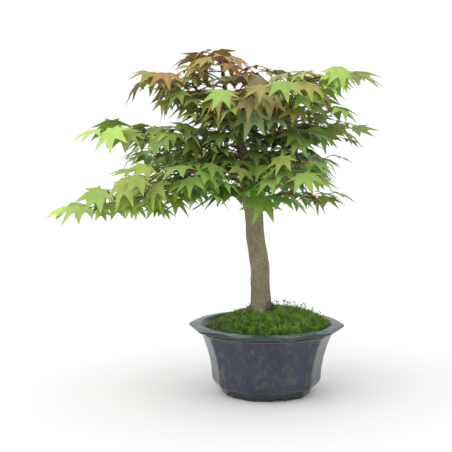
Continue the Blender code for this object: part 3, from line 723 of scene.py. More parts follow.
class Pattern:
    """A small modelled shape, kept as arrays so that many copies can be laid in one mesh."""

    def __init__(self, obj):
        mesh = obj.data
        self.points = np.empty(len(mesh.vertices) * 3)
        mesh.vertices.foreach_get("co", self.points)
        self.points = self.points.reshape(-1, 3)
        self.faces = [tuple(face.vertices) for face in mesh.polygons]
        self.finish = [face.material_index for face in mesh.polygons]
        self.maps = {}
        for layer in mesh.uv_layers:
            pairs = np.empty(len(mesh.loops) * 2)
            layer.uv.foreach_get("vector", pairs)
            self.maps[layer.name] = pairs
        bpy.data.objects.remove(obj)

    def spread(self, name, copies):
        """One mesh object of (points, tint, flush) copies."""
        count = len(self.points)
        points = np.concatenate([copy[0] for copy in copies])
        faces = [tuple(v + k * count for v in face) for k in range(len(copies)) for face in self.faces]
        mesh = bpy.data.meshes.new(name)
        mesh.from_pydata(points.tolist(), [], faces)
        mesh.polygons.foreach_set("material_index", self.finish * len(copies))
        for map_name, pairs in self.maps.items():
            mesh.uv_layers.new(name=map_name).uv.foreach_set("vector", np.tile(pairs, len(copies)))
        tint = mesh.attributes.new("tint", "FLOAT_COLOR", "POINT")
        tint.data.foreach_set("color", np.concatenate([np.tile((*copy[1], 1.0), count) for copy in copies]))
        flush = mesh.attributes.new("flush", "FLOAT", "POINT")
        flush.data.foreach_set("value", np.concatenate([np.full(count, copy[2]) for copy in copies]))
        made = bpy.data.objects.new(name, mesh)
        bpy.context.scene.collection.objects.link(made)
        return made


def moved(points, matrix):
    turn = np.array(matrix)
    return points @ turn[:3, :3].T + turn[:3, 3]


# --- pot ---------------------------------------------------------------------------------------


def inner_radius(outer):
    return outer * math.cos(math.pi / POT_SIDES) - WALL_THICKNESS


def wall_radius(z):
    share = max(0.0, (z - BELLY_TOP) / (WALL_TOP - BELLY_TOP))
    return BELLY_RADIUS + (WALL_TOP_RADIUS - BELLY_RADIUS) * share**WALL_FLARE


def steps_between(low, high, count):
    return [low + (high - low) * i / count for i in range(count + 1)]


def pot_profile():
    """Inner floor, inside wall, rim, lip, moulding, flared wall, round belly, foot and recess."""
    inside = [(0, FLOOR_TOP), (DRAIN_RADIUS + 2, FLOOR_TOP), (48, FLOOR_TOP), (53, 13), (58, 16.5)]
    inside += [(inner_radius(wall_radius(z)), z) for z in steps_between(BELLY_TOP, WALL_TOP, 8)]
    throat = [(80.3, 85.0), (82.5, 88.0), (83.8, 90.0), (RIM_BORE, RIM_TOP - 0.2), (86.2, RIM_TOP + 0.25)]
    rim = [(89.5, RIM_TOP + 0.1), (RIM_CREST, RIM_TOP - 0.4), (97.5, 89.9), (RIM_RADIUS - 0.4, LIP_TOP)]
    lip = [(RIM_RADIUS, LIP_TOP - 0.7), (RIM_RADIUS - 0.3, 87.3), (RIM_RADIUS - 1.1, 86.6)]
    under = [(96.5, 85.6), (93, 84.6), (90.6, 83.6), (89.2, 82.8)]
    bead = [(88.9, 82.3), (89.6, BEAD_HEIGHT + 0.5), (89.5, BEAD_HEIGHT - 0.3), (88.2, BEAD_HEIGHT - 1.1)]
    wall = [(wall_radius(z), z) for z in reversed(steps_between(BELLY_TOP, 78.5, 12))]
    belly = []
    for i in range(1, 8):
        turn = math.radians(90 * (1 - i / 7))
        r = FOOT_NECK_RADIUS + 1 + (BELLY_RADIUS - FOOT_NECK_RADIUS - 1) * math.sin(turn)
        belly.append((r, BELLY_TOP - (BELLY_TOP - FOOT_HEIGHT - 0.8) * math.cos(turn)))
    foot = [(FOOT_NECK_RADIUS - 0.2, FOOT_HEIGHT + 0.2), (FOOT_NECK_RADIUS, FOOT_HEIGHT - 0.8)]
    foot += [(FOOT_RADIUS + 1.3, 4), (FOOT_RADIUS + 0.3, 0.8), (FOOT_RADIUS - 0.6, 0)]
    recess = [(FOOT_BORE + 0.6, 0), (FOOT_BORE, 0.6), (FOOT_BORE - 1.5, RECESS_HEIGHT)]
    ceiling = [(DRAIN_RADIUS + 2, RECESS_HEIGHT), (0, RECESS_HEIGHT)]
    return inside + throat + rim + lip + under + bead + wall + belly + foot + recess + ceiling


def press_to_sides(mesh):
    """Presses the turned outside to flat sides with soft corners. The lip stands deepest along each side."""
    half = math.pi / POT_SIDES
    for vertex in mesh.vertices:
        x, y, z = vertex.co
        radius = math.hypot(x, y)
        in_rim = z > WALL_TOP + 0.8
        bore = RIM_BORE if in_rim else inner_radius(wall_radius(z))
        if z < FLOOR_TOP - 1:
            bore = FOOT_BORE
        if radius < bore + 0.5:
            continue
        angle = math.atan2(y, x)
        away = (angle % (2 * half)) - half
        near = [math.cos(away + 2 * half * k) for k in (-1, 0, 1)]
        pressed = math.cos(half) * sum(c**CORNER_POWER for c in near) ** (-1 / CORNER_POWER)
        inward = min(1.0, 1.5 * (1 - abs(away) / half))
        inward = inward * inward * (3 - 2 * inward)
        if in_rim:
            ease = min(1.0, (radius - RIM_BORE) / 4)
            pressed = 1 - (1 - pressed + SIDE_HOLLOW * inward) * ease
        vertex.co.x *= pressed
        vertex.co.y *= pressed
        if radius > RIM_CREST and z > LIP_TOP - 1:
            vertex.co.z += LIP_SCALLOP * inward * (radius - RIM_CREST) / (RIM_RADIUS - RIM_CREST)
        elif radius > LIP_SAG_FROM:
            vertex.co.z -= LIP_SAG * inward * (radius - LIP_SAG_FROM) / (RIM_RADIUS - LIP_SAG_FROM)


def make_pot(settings):
    pot = lathe("glazed_pot", pot_profile(), POT_SIDES * SIDE_STEPS)
    press_to_sides(pot.data)
    radius = (NOTCH_WIDTH**2 / 4 + NOTCH_HEIGHT**2) / (2 * NOTCH_HEIGHT)
    deselect()
    bpy.ops.mesh.primitive_cylinder_add(
        vertices=48, radius=DRAIN_RADIUS, depth=2 * FLOOR_TOP, location=(0, 0, FLOOR_TOP)
    )
    cutters = [start_piece("drain_hole")]
    for i in range(NOTCHES):
        turn = 2 * math.pi * i / NOTCHES
        place = (FOOT_RADIUS * math.cos(turn), FOOT_RADIUS * math.sin(turn), NOTCH_HEIGHT - radius)
        deselect()
        bpy.ops.mesh.primitive_cylinder_add(
            vertices=96, radius=radius, depth=NOTCH_DEPTH, location=place, rotation=(0, math.pi / 2, turn)
        )
        cutters.append(start_piece("notch"))
    for cutter in cutters:
        cut = pot.modifiers.new("cut", "BOOLEAN")
        cut.operation = "DIFFERENCE"
        cut.object = cutter
        apply_modifiers(pot)
        bpy.data.objects.remove(cutter)
    soft = pot.modifiers.new("soft_edges", "BEVEL")
    soft.width = settings.edge_width
    soft.segments = 2
    soft.limit_method = "ANGLE"
    soft.angle_limit = math.radians(38)
    apply_modifiers(pot)
    pot.data.transform(Matrix.Rotation(POT_TURN, 4, "Z"))
    glossy = glazed_stoneware("glazed_stoneware", settings, WALL_GLOSS)
    satin = glazed_stoneware("satin_rim_glaze", settings, RIM_GLOSS)
    dress(pot, glossy, satin)
    for face in pot.data.polygons:
        face.material_index = int(face.center.z > RIM_GLAZE_FROM)
    finish_piece(pot, ["pot"], smooth=40)


class BONSAI_OT_pot(bpy.types.Operator):
    """Ten-sided glazed pot with a drain hole and an arched foot"""

    bl_idname = "bonsai.pot"
    bl_label = "Glazed pot"

    def execute(self, context):
        make_pot(context.scene.bonsai_pot)
        return {"FINISHED"}


class BONSAI_OT_filling(bpy.types.Operator):
    """Finishes of the drain mesh, the grit and the soil, whose shapes are the frame's own"""

    bl_idname = "bonsai.filling"
    bl_label = "Mesh, grit and soil"

    def execute(self, context):
        finishes = {
            "drain_mesh": moulded_polypropylene(),
            "drainage_grit": loose_grains("crushed_pumice", 5.0, colour("#a89a84"), colour("#6b5d4a")),
            "soil": loose_grains("baked_clay_soil", 3.0, colour("#6b4e36"), colour("#3a2a1c")),
        }
        for name, made in finishes.items():
            dress(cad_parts[name], made)
        return {"FINISHED"}


# --- moss --------------------------------------------------------------------------------------


def filling_radius(z):
    if z > WALL_TOP:
        return inner_radius(WALL_TOP_RADIUS) + (z - WALL_TOP) * THROAT_SLOPE - FILLING_GAP
    return inner_radius(wall_radius(z)) - FILLING_GAP


def moss_height(x, y):
    """Top of the cushion, fuller to the right and lumpy all over."""
    edge = filling_radius(SOIL_EDGE)
    share = min(1.0, math.hypot(x, y) / edge)
    mound = SOIL_EDGE + MOSS_COVER + (SOIL_CENTRE - SOIL_EDGE) * (1 - share**MOUND_POWER)
    lumps = 1.3 * noise.noise(Vector((x / 13, y / 13, 4.0))) + 0.5 * noise.noise(Vector((x / 5, y / 5, 9.0)))
    return mound + MOSS_TILT * x / edge + lumps * min(1.0, 4 * (1 - share) + 0.2) - 1.6 * share**6


MOSS_RINGS = (0, 0.12, 0.2, 0.28, 0.36, 0.44, 0.52, 0.6, 0.68, 0.76, 0.84, 0.91, 0.97, 1)


def make_moss_bed(moss):
    edge = filling_radius(SOIL_EDGE)
    rings = [edge * share for share in MOSS_RINGS]
    low = SOIL_EDGE + 0.3
    under = [(r, low + (SOIL_CENTRE - SOIL_EDGE) * (1 - (r / edge) ** MOUND_POWER)) for r in rings[::-2]]
    bed = lathe("moss_cushion", [(r, 200) for r in rings] + under, 120)
    for vertex in bed.data.vertices:
        if vertex.co.z > 199:
            vertex.co.z = moss_height(vertex.co.x, vertex.co.y)
    dress(bed, moss_bed(moss))
    finish_piece(bed, ["moss"])


def spike(height, radius, lean, turn):
    """A thin three-sided leaflet that leans out from the sprig's foot."""
    deselect()
    bpy.ops.mesh.primitive_cone_add(
        vertices=3, radius1=radius, radius2=0, depth=height, location=(0, 0, height / 2)
    )
    made = start_piece("leaflet")
    made.data.transform(Matrix.Translation((0, 0, height / 2)))
    made.location = (0, 0, 0)
    made.data.transform(Matrix.Rotation(turn, 4, "Z") @ Matrix.Rotation(lean, 4, "Y"))
    return made


def sprig_pattern(height):
    """A moss sprig of seven leaflets."""
    leaflets = [spike(height, 0.42, 0.06, 0.4)]
    for k in range(3):
        leaflets.append(spike(height * 0.86, 0.38, 0.42, 2.1 * k))
        leaflets.append(spike(height * 0.66, 0.38, 0.80, 2.1 * k + 1.05))
    return Pattern(join(leaflets[0], leaflets[1:]))


def capsule_pattern(height):
    """A wiry stalk with a nodding spore capsule."""
    deselect()
    bpy.ops.mesh.primitive_cone_add(vertices=4, radius1=0.22, radius2=0.16, depth=height, location=(0, 0, 0))
    stalk = start_piece("stalk")
    stalk.data.transform(Matrix.Translation((0, 0, height / 2)))
    deselect()
    bpy.ops.mesh.primitive_uv_sphere_add(segments=6, ring_count=4, radius=0.62)
    capsule = start_piece("capsule")
    nod = Matrix.Rotation(0.7, 4, "Y") @ Matrix.Diagonal((1, 1, 1.9, 1))
    capsule.data.transform(Matrix.Translation((0.45, 0, height + 0.5)) @ nod)
    return Pattern(join(stalk, [capsule]))


def upright(place, lean, turn, size):
    tip = Matrix.Rotation(turn, 4, "Z") @ Matrix.Rotation(lean, 4, "Y")
    return Matrix.Translation(place) @ tip @ Matrix.Rotation(-turn * 1.7, 4, "Z") @ Matrix.Scale(size, 4)


def make_moss(moss):
    make_moss_bed(moss)
    dice = random.Random(MOSS_SEED)
    edge = filling_radius(SOIL_EDGE) - 0.8
    sprig = sprig_pattern(moss.height)
    count = int(2 * edge / moss.spacing) + 1
    copies = []
    brown = colour("#6a5c2e")
    for i in range(count):
        for j in range(count):
            x = -edge + (i + dice.uniform(-0.45, 0.45)) * moss.spacing
            y = -edge + (j + dice.uniform(-0.45, 0.45)) * moss.spacing
            away = math.hypot(x, y)
            size = dice.uniform(0.65, 1.15) * (1.0 + 0.35 * noise.noise(Vector((x / 9, y / 9, 1.0))))
            lean, turn, tone = dice.uniform(0, 0.45), dice.uniform(0, 6.28), dice.random()
            if away > edge or math.hypot(x - TRUNK_PATH[1][0], y) < TRUNK_CLEAR:
                continue
            patch = 0.5 + 1.4 * noise.noise(Vector((x / 7, y / 7, 6.0)))
            tint = mix(moss.dark, moss.bright, min(1.0, max(0.0, 0.55 * patch + 0.9 * tone * tone)))
            if tone < 0.10:
                tint = brown
            size *= 0.80 + 0.32 * x / edge
            if away > edge - MOSS_FRINGE:
                lean, turn = lean + 0.5, math.atan2(y, x)
            place = Vector((x, y, moss_height(x, y) - 1.0))
            copies.append((moved(sprig.points, upright(place, lean, turn, size)), tint, 0.0))
    sprigs = sprig.spread("moss_sprigs", copies)
    dress(sprigs, tinted("moss_leaflets", 0.7))
    finish_piece(sprigs, smooth=20)
    capsule = capsule_pattern(CAPSULE_HEIGHT)
    stalks = []
    for _ in range(moss.stalks):
        angle, away = dice.uniform(-0.7, 2.2), dice.uniform(30, edge - 3)
        x, y = away * math.cos(angle), away * math.sin(angle)
        place = Vector((x, y, moss_height(x, y)))
        tint = mix(colour("#4a3a20"), colour("#6f7a34"), dice.random())
        size = dice.uniform(0.8, 1.25)
        stance = upright(place, dice.uniform(0, 0.3), dice.uniform(0, 6.28), size)
        stalks.append((moved(capsule.points, stance), tint, 0.0))
    capsules = capsule.spread("moss_capsules", stalks)
    dress(capsules, tinted("moss_capsules", 0.5))
    finish_piece(capsules, smooth=50)


class BONSAI_OT_moss(bpy.types.Operator):
    """Moss cushion with its sprigs and spore capsules"""

    bl_idname = "bonsai.moss"
    bl_label = "Moss"

    def execute(self, context):
        make_moss(context.scene.bonsai_moss)
        return {"FINISHED"}


# --- wood --------------------------------------------------------------------------------------

# Old pruning scars over the roots: middle and radius.
SCARS = [((-21.5, -6.5, 108.5), 5.8), ((4.5, -8.5, 113.0), 7.2)]
PALE_ROOT = ((-4.0, -18.0, 106.0), 5.5, "#b3aa98")  # where the front root's bark has worn off
KNOTS = [  # swellings where shoots were cut off: height, turn round the trunk in degrees, radius
    (139, 300, 3.0),
    (158, 215, 2.6),
    (176, 330, 3.2),
    (205, 250, 2.6),
    (228, 20, 3.0),
    (244, 280, 3.4),
]
KNOT_PROFILE = [(5, 1.2), (9.6, 1.0), (11.2, 0.5)]  # distance from the trunk's middle, share of the radius


def smooth_path(points, steps):
    """Points along a smooth curve through the given ones, steps to a stretch."""
    given = [Vector(p) for p in points]
    ends = [given[0] * 2 - given[1]] + given + [given[-1] * 2 - given[-2]]
    path = []
    for a, b, c, d in zip(ends, ends[1:], ends[2:], ends[3:]):
        for i in range(steps):
            t = i / steps
            bend = (2 * a - 5 * b + 4 * c - d) * t**2 + (3 * b - a - 3 * c + d) * t**3
            path.append(b + ((c - a) * t + bend) * 0.5)
    return path + [given[-1]]


def point_at(path, share):
    """The point and the direction at a share of a path's length."""
    lengths = [(b - a).length for a, b in zip(path, path[1:])]
    left = share * sum(lengths)
    for a, b, length in zip(path, path[1:], lengths):
        if left <= length:
            return a.lerp(b, left / length), (b - a).normalized()
        left -= length
    return path[-1].copy(), (path[-1] - path[-2]).normalized()


def tapered(path, start, end, power=0.8):
    last = len(path) - 1
    return [start + (end - start) * (i / last) ** power for i in range(last + 1)]


def outward(degrees):
    """The level direction at an angle round the trunk."""
    return Vector((math.cos(math.radians(degrees)), math.sin(math.radians(degrees)), 0))


def root_run(angle, reach, radius):
    out = outward(angle)
    foot = Vector((TRUNK_PATH[0][0], TRUNK_PATH[0][1], SOIL_CENTRE + MOSS_COVER - 0.3))
    points = [foot + out * (reach * share) + Vector((0, 0, rise)) for share, rise in ROOT_COURSE]
    path = smooth_path(points, 5)
    sizes = smooth_path([(radius * k, 0, 0) for k in ROOT_TAPER], 5)
    return [(p, s.x) for p, s in zip(path, sizes)]


def displace(obj, name, size, depth):
    """Raises and sinks the surface by procedural clouds of a size, both in millimetres."""
    clouds = bpy.data.textures.new(name, "CLOUDS")
    clouds.noise_scale = size
    clouds.noise_depth = 3
    push = obj.modifiers.new(name, "DISPLACE")
    push.texture = clouds
    push.texture_coords = "LOCAL"
    push.strength = depth
    push.mid_level = 0.5
    apply_modifiers(obj)


def make_trunk(settings):
    path = smooth_path(TRUNK_PATH, 5)
    radii = [r.x for r in smooth_path([(r, 0, 0) for r in TRUNK_RADII], 5)]
    runs = [list(zip(path, radii))] + [root_run(*root) for root in ROOTS]
    for middle, reach in SCARS:
        inward = Vector((TRUNK_PATH[0][0] - middle[0], -middle[1], 0)).normalized() * 6
        runs.append([(Vector(middle) + inward, reach), (Vector(middle) - inward * 0.6, reach * 0.8)])
    for height, turn, radius in KNOTS:
        spot = next(p for p in path if p.z >= height)
        out = outward(turn)
        runs.append([(spot + out * far, radius * share) for far, share in KNOT_PROFILE])
    trunk = tubes("maple_trunk", runs, 6)
    fuse = trunk.modifiers.new("fuse", "REMESH")
    fuse.mode = "VOXEL"
    fuse.voxel_size = settings.voxel
    smooth = trunk.modifiers.new("smooth", "SMOOTH")
    smooth.factor = 0.6
    smooth.iterations = 6
    apply_modifiers(trunk)
    displace(trunk, "swellings", 16.0, 1.6)
    displace(trunk, "bark_grain", 2.2, 0.45)
    dress(trunk, maple_bark(settings))
    finish_piece(trunk, ["trunk"])


BARE_TWIGS = [
    [(-60, -9, 265), (-68, -16, 258), (-80, -20, 248), (-94, -22, 239)],
    [(-86, -14, 264), (-96, -22, 258), (-108, -27, 251), (-126, -30, 240)],
]
BARE_TWIG_RADII = [1.5, 1.2, 1.0, 0.8]
BARK_SEED = 21
COLLAR = 0.55  # how much thicker a branch is where it leaves the trunk
KNUCKLE = 1.22
BARK_SHARE = 0.86  # the grain that is pushed out afterwards makes up the rest


def make_branches():
    finish = young_bark()
    dice = random.Random(BARK_SEED)
    for name, (start, end, points) in BRANCHES.items():
        path = smooth_path(points, 7)
        radii = tapered(path, start, end)
        run = []
        for i, (point, radius) in enumerate(zip(path, radii)):
            collar = 1 + COLLAR * max(0.0, 1 - i / 5)
            knuckle = KNUCKLE if i % 6 == 4 else 1.0
            stray = Vector()
            if 2 < i < len(path) - 2:
                stray = Vector([dice.uniform(-0.45, 0.45) for _ in range(3)])
            run.append((point + stray, radius * collar * knuckle * BARK_SHARE))
        made = tubes(name.replace("branch", "limb"), [run], 3)
        round_off = made.modifiers.new("round", "SUBSURF")
        round_off.levels = round_off.render_levels = 1
        apply_modifiers(made)
        displace(made, "twig_grain", 3.0, 0.5)
        dress(made, finish)
        finish_piece(made, [name])
    runs = []
    for points in BARE_TWIGS:
        sizes = smooth_path([(r, 0, 0) for r in BARE_TWIG_RADII], 4)
        runs.append([(point, size.x) for point, size in zip(smooth_path(points, 4), sizes)])
    twigs = tubes("bare_twigs", runs, 2)
    dress(twigs, finish)
    finish_piece(twigs, smooth=60)


class BONSAI_OT_trunk(bpy.types.Operator):
    """Trunk, fused with its surface roots, old scars and knots"""

    bl_idname = "bonsai.trunk"
    bl_label = "Trunk"

    def execute(self, context):
        make_trunk(context.scene.bonsai_tree)
        return {"FINISHED"}


class BONSAI_OT_branches(bpy.types.Operator):
    """Branches with collars and knuckles"""

    bl_idname = "bonsai.branches"
    bl_label = "Branches"

    def execute(self, context):
        make_branches()
        return {"FINISHED"}


# --- leaf layout -------------------------------------------------------------------------------


def blade_points(size, droop):
    """A blade's outline in its own frame: middle lobe along +X, upper side +Z, lobes drooping to the tips."""
    half = sorted(SIDE_LOBES + LEAF_NOTCHES)
    outline = [(0, LEAF_LENGTH)] + half + [(180, LEAF_BASE)] + [(360 - a, r) for a, r in reversed(half)]
    points = []
    for angle, radius in outline:
        turn = math.radians(angle)
        drop = droop * size * (radius / LEAF_LENGTH) ** 2
        points.append(Vector((radius * size * math.cos(turn), radius * size * math.sin(turn), -drop)))
    return points


class Body:
    """A stand-in for one leaf or rod: points to measure from, and a sheet of faces to measure to."""

    def __init__(self, points, faces, samples, margin, clearance=CLEARANCE):
        self.middle = sum(points, Vector()) / len(points)
        self.reach = max((p - self.middle).length for p in points) + margin
        self.sheet = BVHTree.FromPolygons(points, faces)
        self.samples = samples
        self.margin = margin + clearance

    def meets(self, other):
        if (self.middle - other.middle).length > self.reach + other.reach + CLEARANCE:
            return False
        if self.sheet.overlap(other.sheet):
            return True
        return any(other.sheet.find_nearest(p, self.margin)[0] is not None for p in self.samples)


def blade_body(placing, size, droop, clearance):
    ring = [placing @ p for p in blade_points(size, droop)]
    middle = placing @ Vector()
    faces = [(len(ring), i, (i + 1) % len(ring)) for i in range(len(ring))]
    samples = [middle] + ring + [middle.lerp(p, 0.5) for p in ring]
    return Body(ring + [middle], faces, samples, LEAF_HALF_THICKNESS, clearance)


def rod_body(path, radii):
    """Crossed plates along a path, as wide as the rod is thick."""
    points, faces, samples = [], [], []
    for a, b, start, end in zip(path, path[1:], radii, radii[1:]):
        along = (b - a).normalized()
        side = along.orthogonal().normalized()
        samples += [a.lerp(b, k / ROD_SAMPLES) for k in range(ROD_SAMPLES + 1)]
        for k in range(ROD_PLATES):
            out = Matrix.Rotation(math.pi * k / ROD_PLATES, 3, along) @ side
            faces.append(tuple(range(len(points), len(points) + 4)))
            points += [a + out * start, a - out * start, b - out * end, b + out * end]
    return Body(points, faces, samples, min(radii))


def is_free(body, taken, besides=()):
    return not any(owner not in besides and body.meets(other) for owner, other in taken)


def leaf_frame(place, forward, roll):
    """Matrix that puts a blade at place, its middle lobe along forward and rolled about that line."""
    along = forward.normalized()
    side = Vector((0, 0, 1)).cross(along).normalized()
    turn = Matrix((along, side, along.cross(side))).transposed().to_4x4()
    return Matrix.Translation(place) @ turn @ Matrix.Rotation(roll, 4, "X")


def turned_flat(direction, degrees):
    """The horizontal part of a direction, turned round the vertical."""
    flat = Vector((direction.x, direction.y, 0)).normalized()
    return Matrix.Rotation(math.radians(degrees), 3, "Z") @ flat


def find_leaf(dice, node, heading, taken, own, scale=1.0, tilt=(8, 50), clearance=CLEARANCE):
    """A free place for one leaf that grows from a node, or None where there is none."""
    for attempt in range(LEAF_TRIES):
        ease = attempt / LEAF_TRIES  # later tries are smaller and stray further
        size = dice.uniform(0.88, 1.15) * (1 - 0.25 * ease) * scale
        reach = dice.uniform(18, 29) * (1 - 0.2 * ease) * scale
        flat = turned_flat(heading, dice.uniform(-22, 22) * (1 + 1.6 * ease))
        rise = math.radians(dice.uniform(0, 28) - dice.uniform(0, 35) * ease)
        end = node + (flat * math.cos(rise) + Vector((0, 0, math.sin(rise)))) * reach
        pitch = math.radians(dice.uniform(*tilt) + 20 * ease * dice.uniform(-1, 1))
        ahead = turned_flat(flat, dice.uniform(-15, 15))
        forward = ahead * math.cos(pitch) - Vector((0, 0, math.sin(pitch)))
        placing = leaf_frame(end, forward, math.radians(dice.uniform(-22, 22)))
        droop = dice.uniform(3.0, 8.5)
        arch = node.lerp(end, 0.5) + Vector((0, 0, 0.10 * reach))
        blade = blade_body(placing, size, droop, clearance)
        petiole = rod_body([node, arch, end.lerp(arch, 0.15)], [PETIOLE_RADIUS] * 3)
        if is_free(blade, taken) and is_free(petiole, taken, (own + "_stem", own + "_petiole")):
            taken += [(own + "_blade", blade), (own + "_petiole", petiole)]
            return {"placing": placing, "size": size, "droop": droop, "petiole": [end, arch, node]}
    return None


def stem_path(start, heading, lift, length):
    """A young shoot: it leaves the wood at a slant, then levels out and nods at its tip."""
    rise = math.radians(lift)
    path = [start]
    for i in range(1, 4):
        share = i / 3
        up = math.sin(rise) * length * share - 0.10 * length * share * share
        path.append(start + heading * (math.cos(rise) * length * share) + Vector((0, 0, up)))
    return path


def wood_paths():
    paths = {"trunk": ([Vector(p) for p in TRUNK_PATH], TRUNK_RADII)}
    for name, (start, end, points) in BRANCHES.items():
        path = smooth_path(points, 2)
        paths[name] = (path, tapered(path, start, end))
    return paths


def plan_shoots():
    """Every shoot of the frame, each leaf where its solid is. Also returns the room that is taken."""
    dice = random.Random(LEAF_SEED)
    wood = wood_paths()
    taken = [(name, rod_body(path, radii)) for name, (path, radii) in wood.items()]
    shoots = []
    for owner, sprays in SHOOTS.items():
        path, _ = wood[owner]
        for number, (share, turn, lift, length) in enumerate(sprays):
            start, along = point_at(path, share)
            name = f"shoot_{owner.replace('branch_', '')}_{number + 1}"
            for _ in range(STEM_TRIES):
                heading = turned_flat(along, turn + dice.uniform(-8, 8))
                rise = lift + dice.uniform(-5, 7)
                stem = stem_path(start, heading, rise, length * dice.uniform(0.92, 1.08))
                outside = [stem[0].lerp(stem[1], 0.6)] + stem[1:]
                if is_free(rod_body(outside, STEM_RADII), taken, (owner,)):
                    break
            taken.append((name + "_stem", rod_body(stem, STEM_RADII)))
            shoot = {"name": name, "owner": owner, "stem": stem, "heading": heading, "leaves": []}
            shoot["most"] = len(LEAF_NODES) - (share < TIP_SHARE)
            shoots.append(shoot)
    for shoot in shoots:
        for share, turn in LEAF_NODES:
            if len(shoot["leaves"]) == shoot["most"]:
                break
            node, _ = point_at(shoot["stem"], share)
            leaf = find_leaf(dice, node, turned_flat(shoot["heading"], turn), taken, shoot["name"])
            if leaf:
                shoot["leaves"].append(leaf)
    return shoots, taken


def grow_spray(dice, name, owner, stem, heading, taken, sprays):
    """Adds a spray along a stem, unless none of its leaves finds room."""
    mark = len(taken)
    taken.append((name + "_stem", rod_body(stem, STEM_RADII)))
    spray = {"name": name, "owner": owner, "stem": stem, "heading": heading, "leaves": []}
    for share, turn in SPRAY_NODES:
        node, _ = point_at(stem, share)
        leaf = find_leaf(dice, node, turned_flat(heading, turn), taken, name, *SPRAY_LEAF)
        if leaf:
            spray["leaves"].append(leaf)
    if spray["leaves"]:
        sprays.append(spray)
    else:
        del taken[mark:]


def plan_sprays(shoots, taken):
    """Smaller leaves and short sprays between the frame's shoots, wherever there is room."""
    dice = random.Random(SPRAY_SEED)
    wood = wood_paths()
    for shoot in shoots:
        for share, turn in ((0.60, 80), (0.58, -80), (0.25, 90), (0.22, -90)):
            node, _ = point_at(shoot["stem"], share)
            heading = turned_flat(shoot["heading"], turn)
            leaf = find_leaf(dice, node, heading, taken, shoot["name"], *BASAL_LEAF)
            if leaf:
                shoot["leaves"].append(leaf)
    sprays = []
    for owner, twigs in LONG_TWIGS.items():
        for number, (share, turn, lift, length) in enumerate(twigs):
            start, along = point_at(wood[owner][0], share)
            heading = turned_flat(along, turn)
            stem = stem_path(start, heading, lift, length)
            grow_spray(dice, f"twig_{owner}_{number}", owner, stem, heading, taken, sprays)
    for owner, (path, _) in wood.items():
        length = sum((b - a).length for a, b in zip(path, path[1:]))
        first = 0.55 if owner == "trunk" else 0.16
        count = int((1 - first) * length / SPRAY_SPACING.get(owner, USUAL_SPACING))
        for k in range(count):
            share = first + (0.97 - first) * (k + 0.5) / count
            start, along = point_at(path, share)
            stem = None
            for _ in range(STEM_TRIES):
                if owner == "trunk":
                    side = dice.uniform(0, 360)
                else:
                    side = dice.choice((-1, 1)) * dice.uniform(35, 105)
                heading = turned_flat(along, side)
                tried = stem_path(start, heading, dice.uniform(-18, 38), dice.uniform(22, 48))
                outside = [tried[0].lerp(tried[1], 0.6)] + tried[1:]
                if is_free(rod_body(outside, STEM_RADII), taken, (owner,)):
                    stem = tried
                    break
            if stem:
                grow_spray(dice, f"spray_{owner}_{k}", owner, stem, heading, taken, sprays)
    return sprays


# --- leaves ------------------------------------------------------------------------------------


def lobe_rows(length, near, far, middle, teeth):
    """Rows of one lobe from the leaf's foot to its tip: place along the midrib, half width left and right."""

    def beside(notch):
        turn = math.radians(notch[0] - middle)
        return notch[1] * math.cos(turn), abs(notch[1] * math.sin(turn))

    (near_along, near_off), (far_along, far_off) = beside(near), beside(far)
    start = max(near_along, far_along)
    rows = [(start, (near_along, near_off), (far_along, far_off))]
    for k in range(teeth):
        for inner, factor in ((0.0, TOOTH_OUT), (0.11, TOOTH_IN)):
            share = 0.14 + k * 0.80 / (teeth + 0.6) + inner
            wide = (1 + 2.1 * share) * (1 - share) ** 1.3 * factor
            along = start + (length - start) * share
            rows.append((along, (along, near_off * wide), (along, far_off * wide)))
    return rows


def add_lobe(middle, length, near, far, teeth):
    """One lobe, from a grid: two strips of faces along a midrib, from the leaf's foot to the tip."""
    rows = lobe_rows(length, near, far, middle, teeth)
    count = len(rows) + 1
    deselect()
    bpy.ops.mesh.primitive_grid_add(x_subdivisions=count, y_subdivisions=2, size=2)
    made = start_piece("lobe")
    mesh = made.data
    turn = Matrix.Rotation(math.radians(middle), 3, "Z")
    shares = []
    for vertex in mesh.vertices:
        row = round((vertex.co.x + 1) / 2 * count)
        side = round(vertex.co.y)
        if row == 0:
            place, share = Vector(), 0.0
        elif row == count:
            place, share = Vector((length, 0, 0)), 1.0
        else:
            along, left, right = rows[row - 1]
            share = along / length
            if side == 0:
                place = Vector((along if row > 1 else 0.92 * along, 0, 0))
            else:
                place = Vector((left[0], -left[1], 0)) if side < 0 else Vector((right[0], right[1], 0))
                place.z = BLADE_FOLD * abs(place.y)
        shares.append((share, 0.5 + 0.5 * side))
        vertex.co = turn @ place
    layer = mesh.uv_layers[0] if mesh.uv_layers else mesh.uv_layers.new(name="lobe")
    layer.name = "lobe"
    for loop in mesh.loops:
        layer.uv[loop.index].vector = shares[loop.vertex_index]
    return made


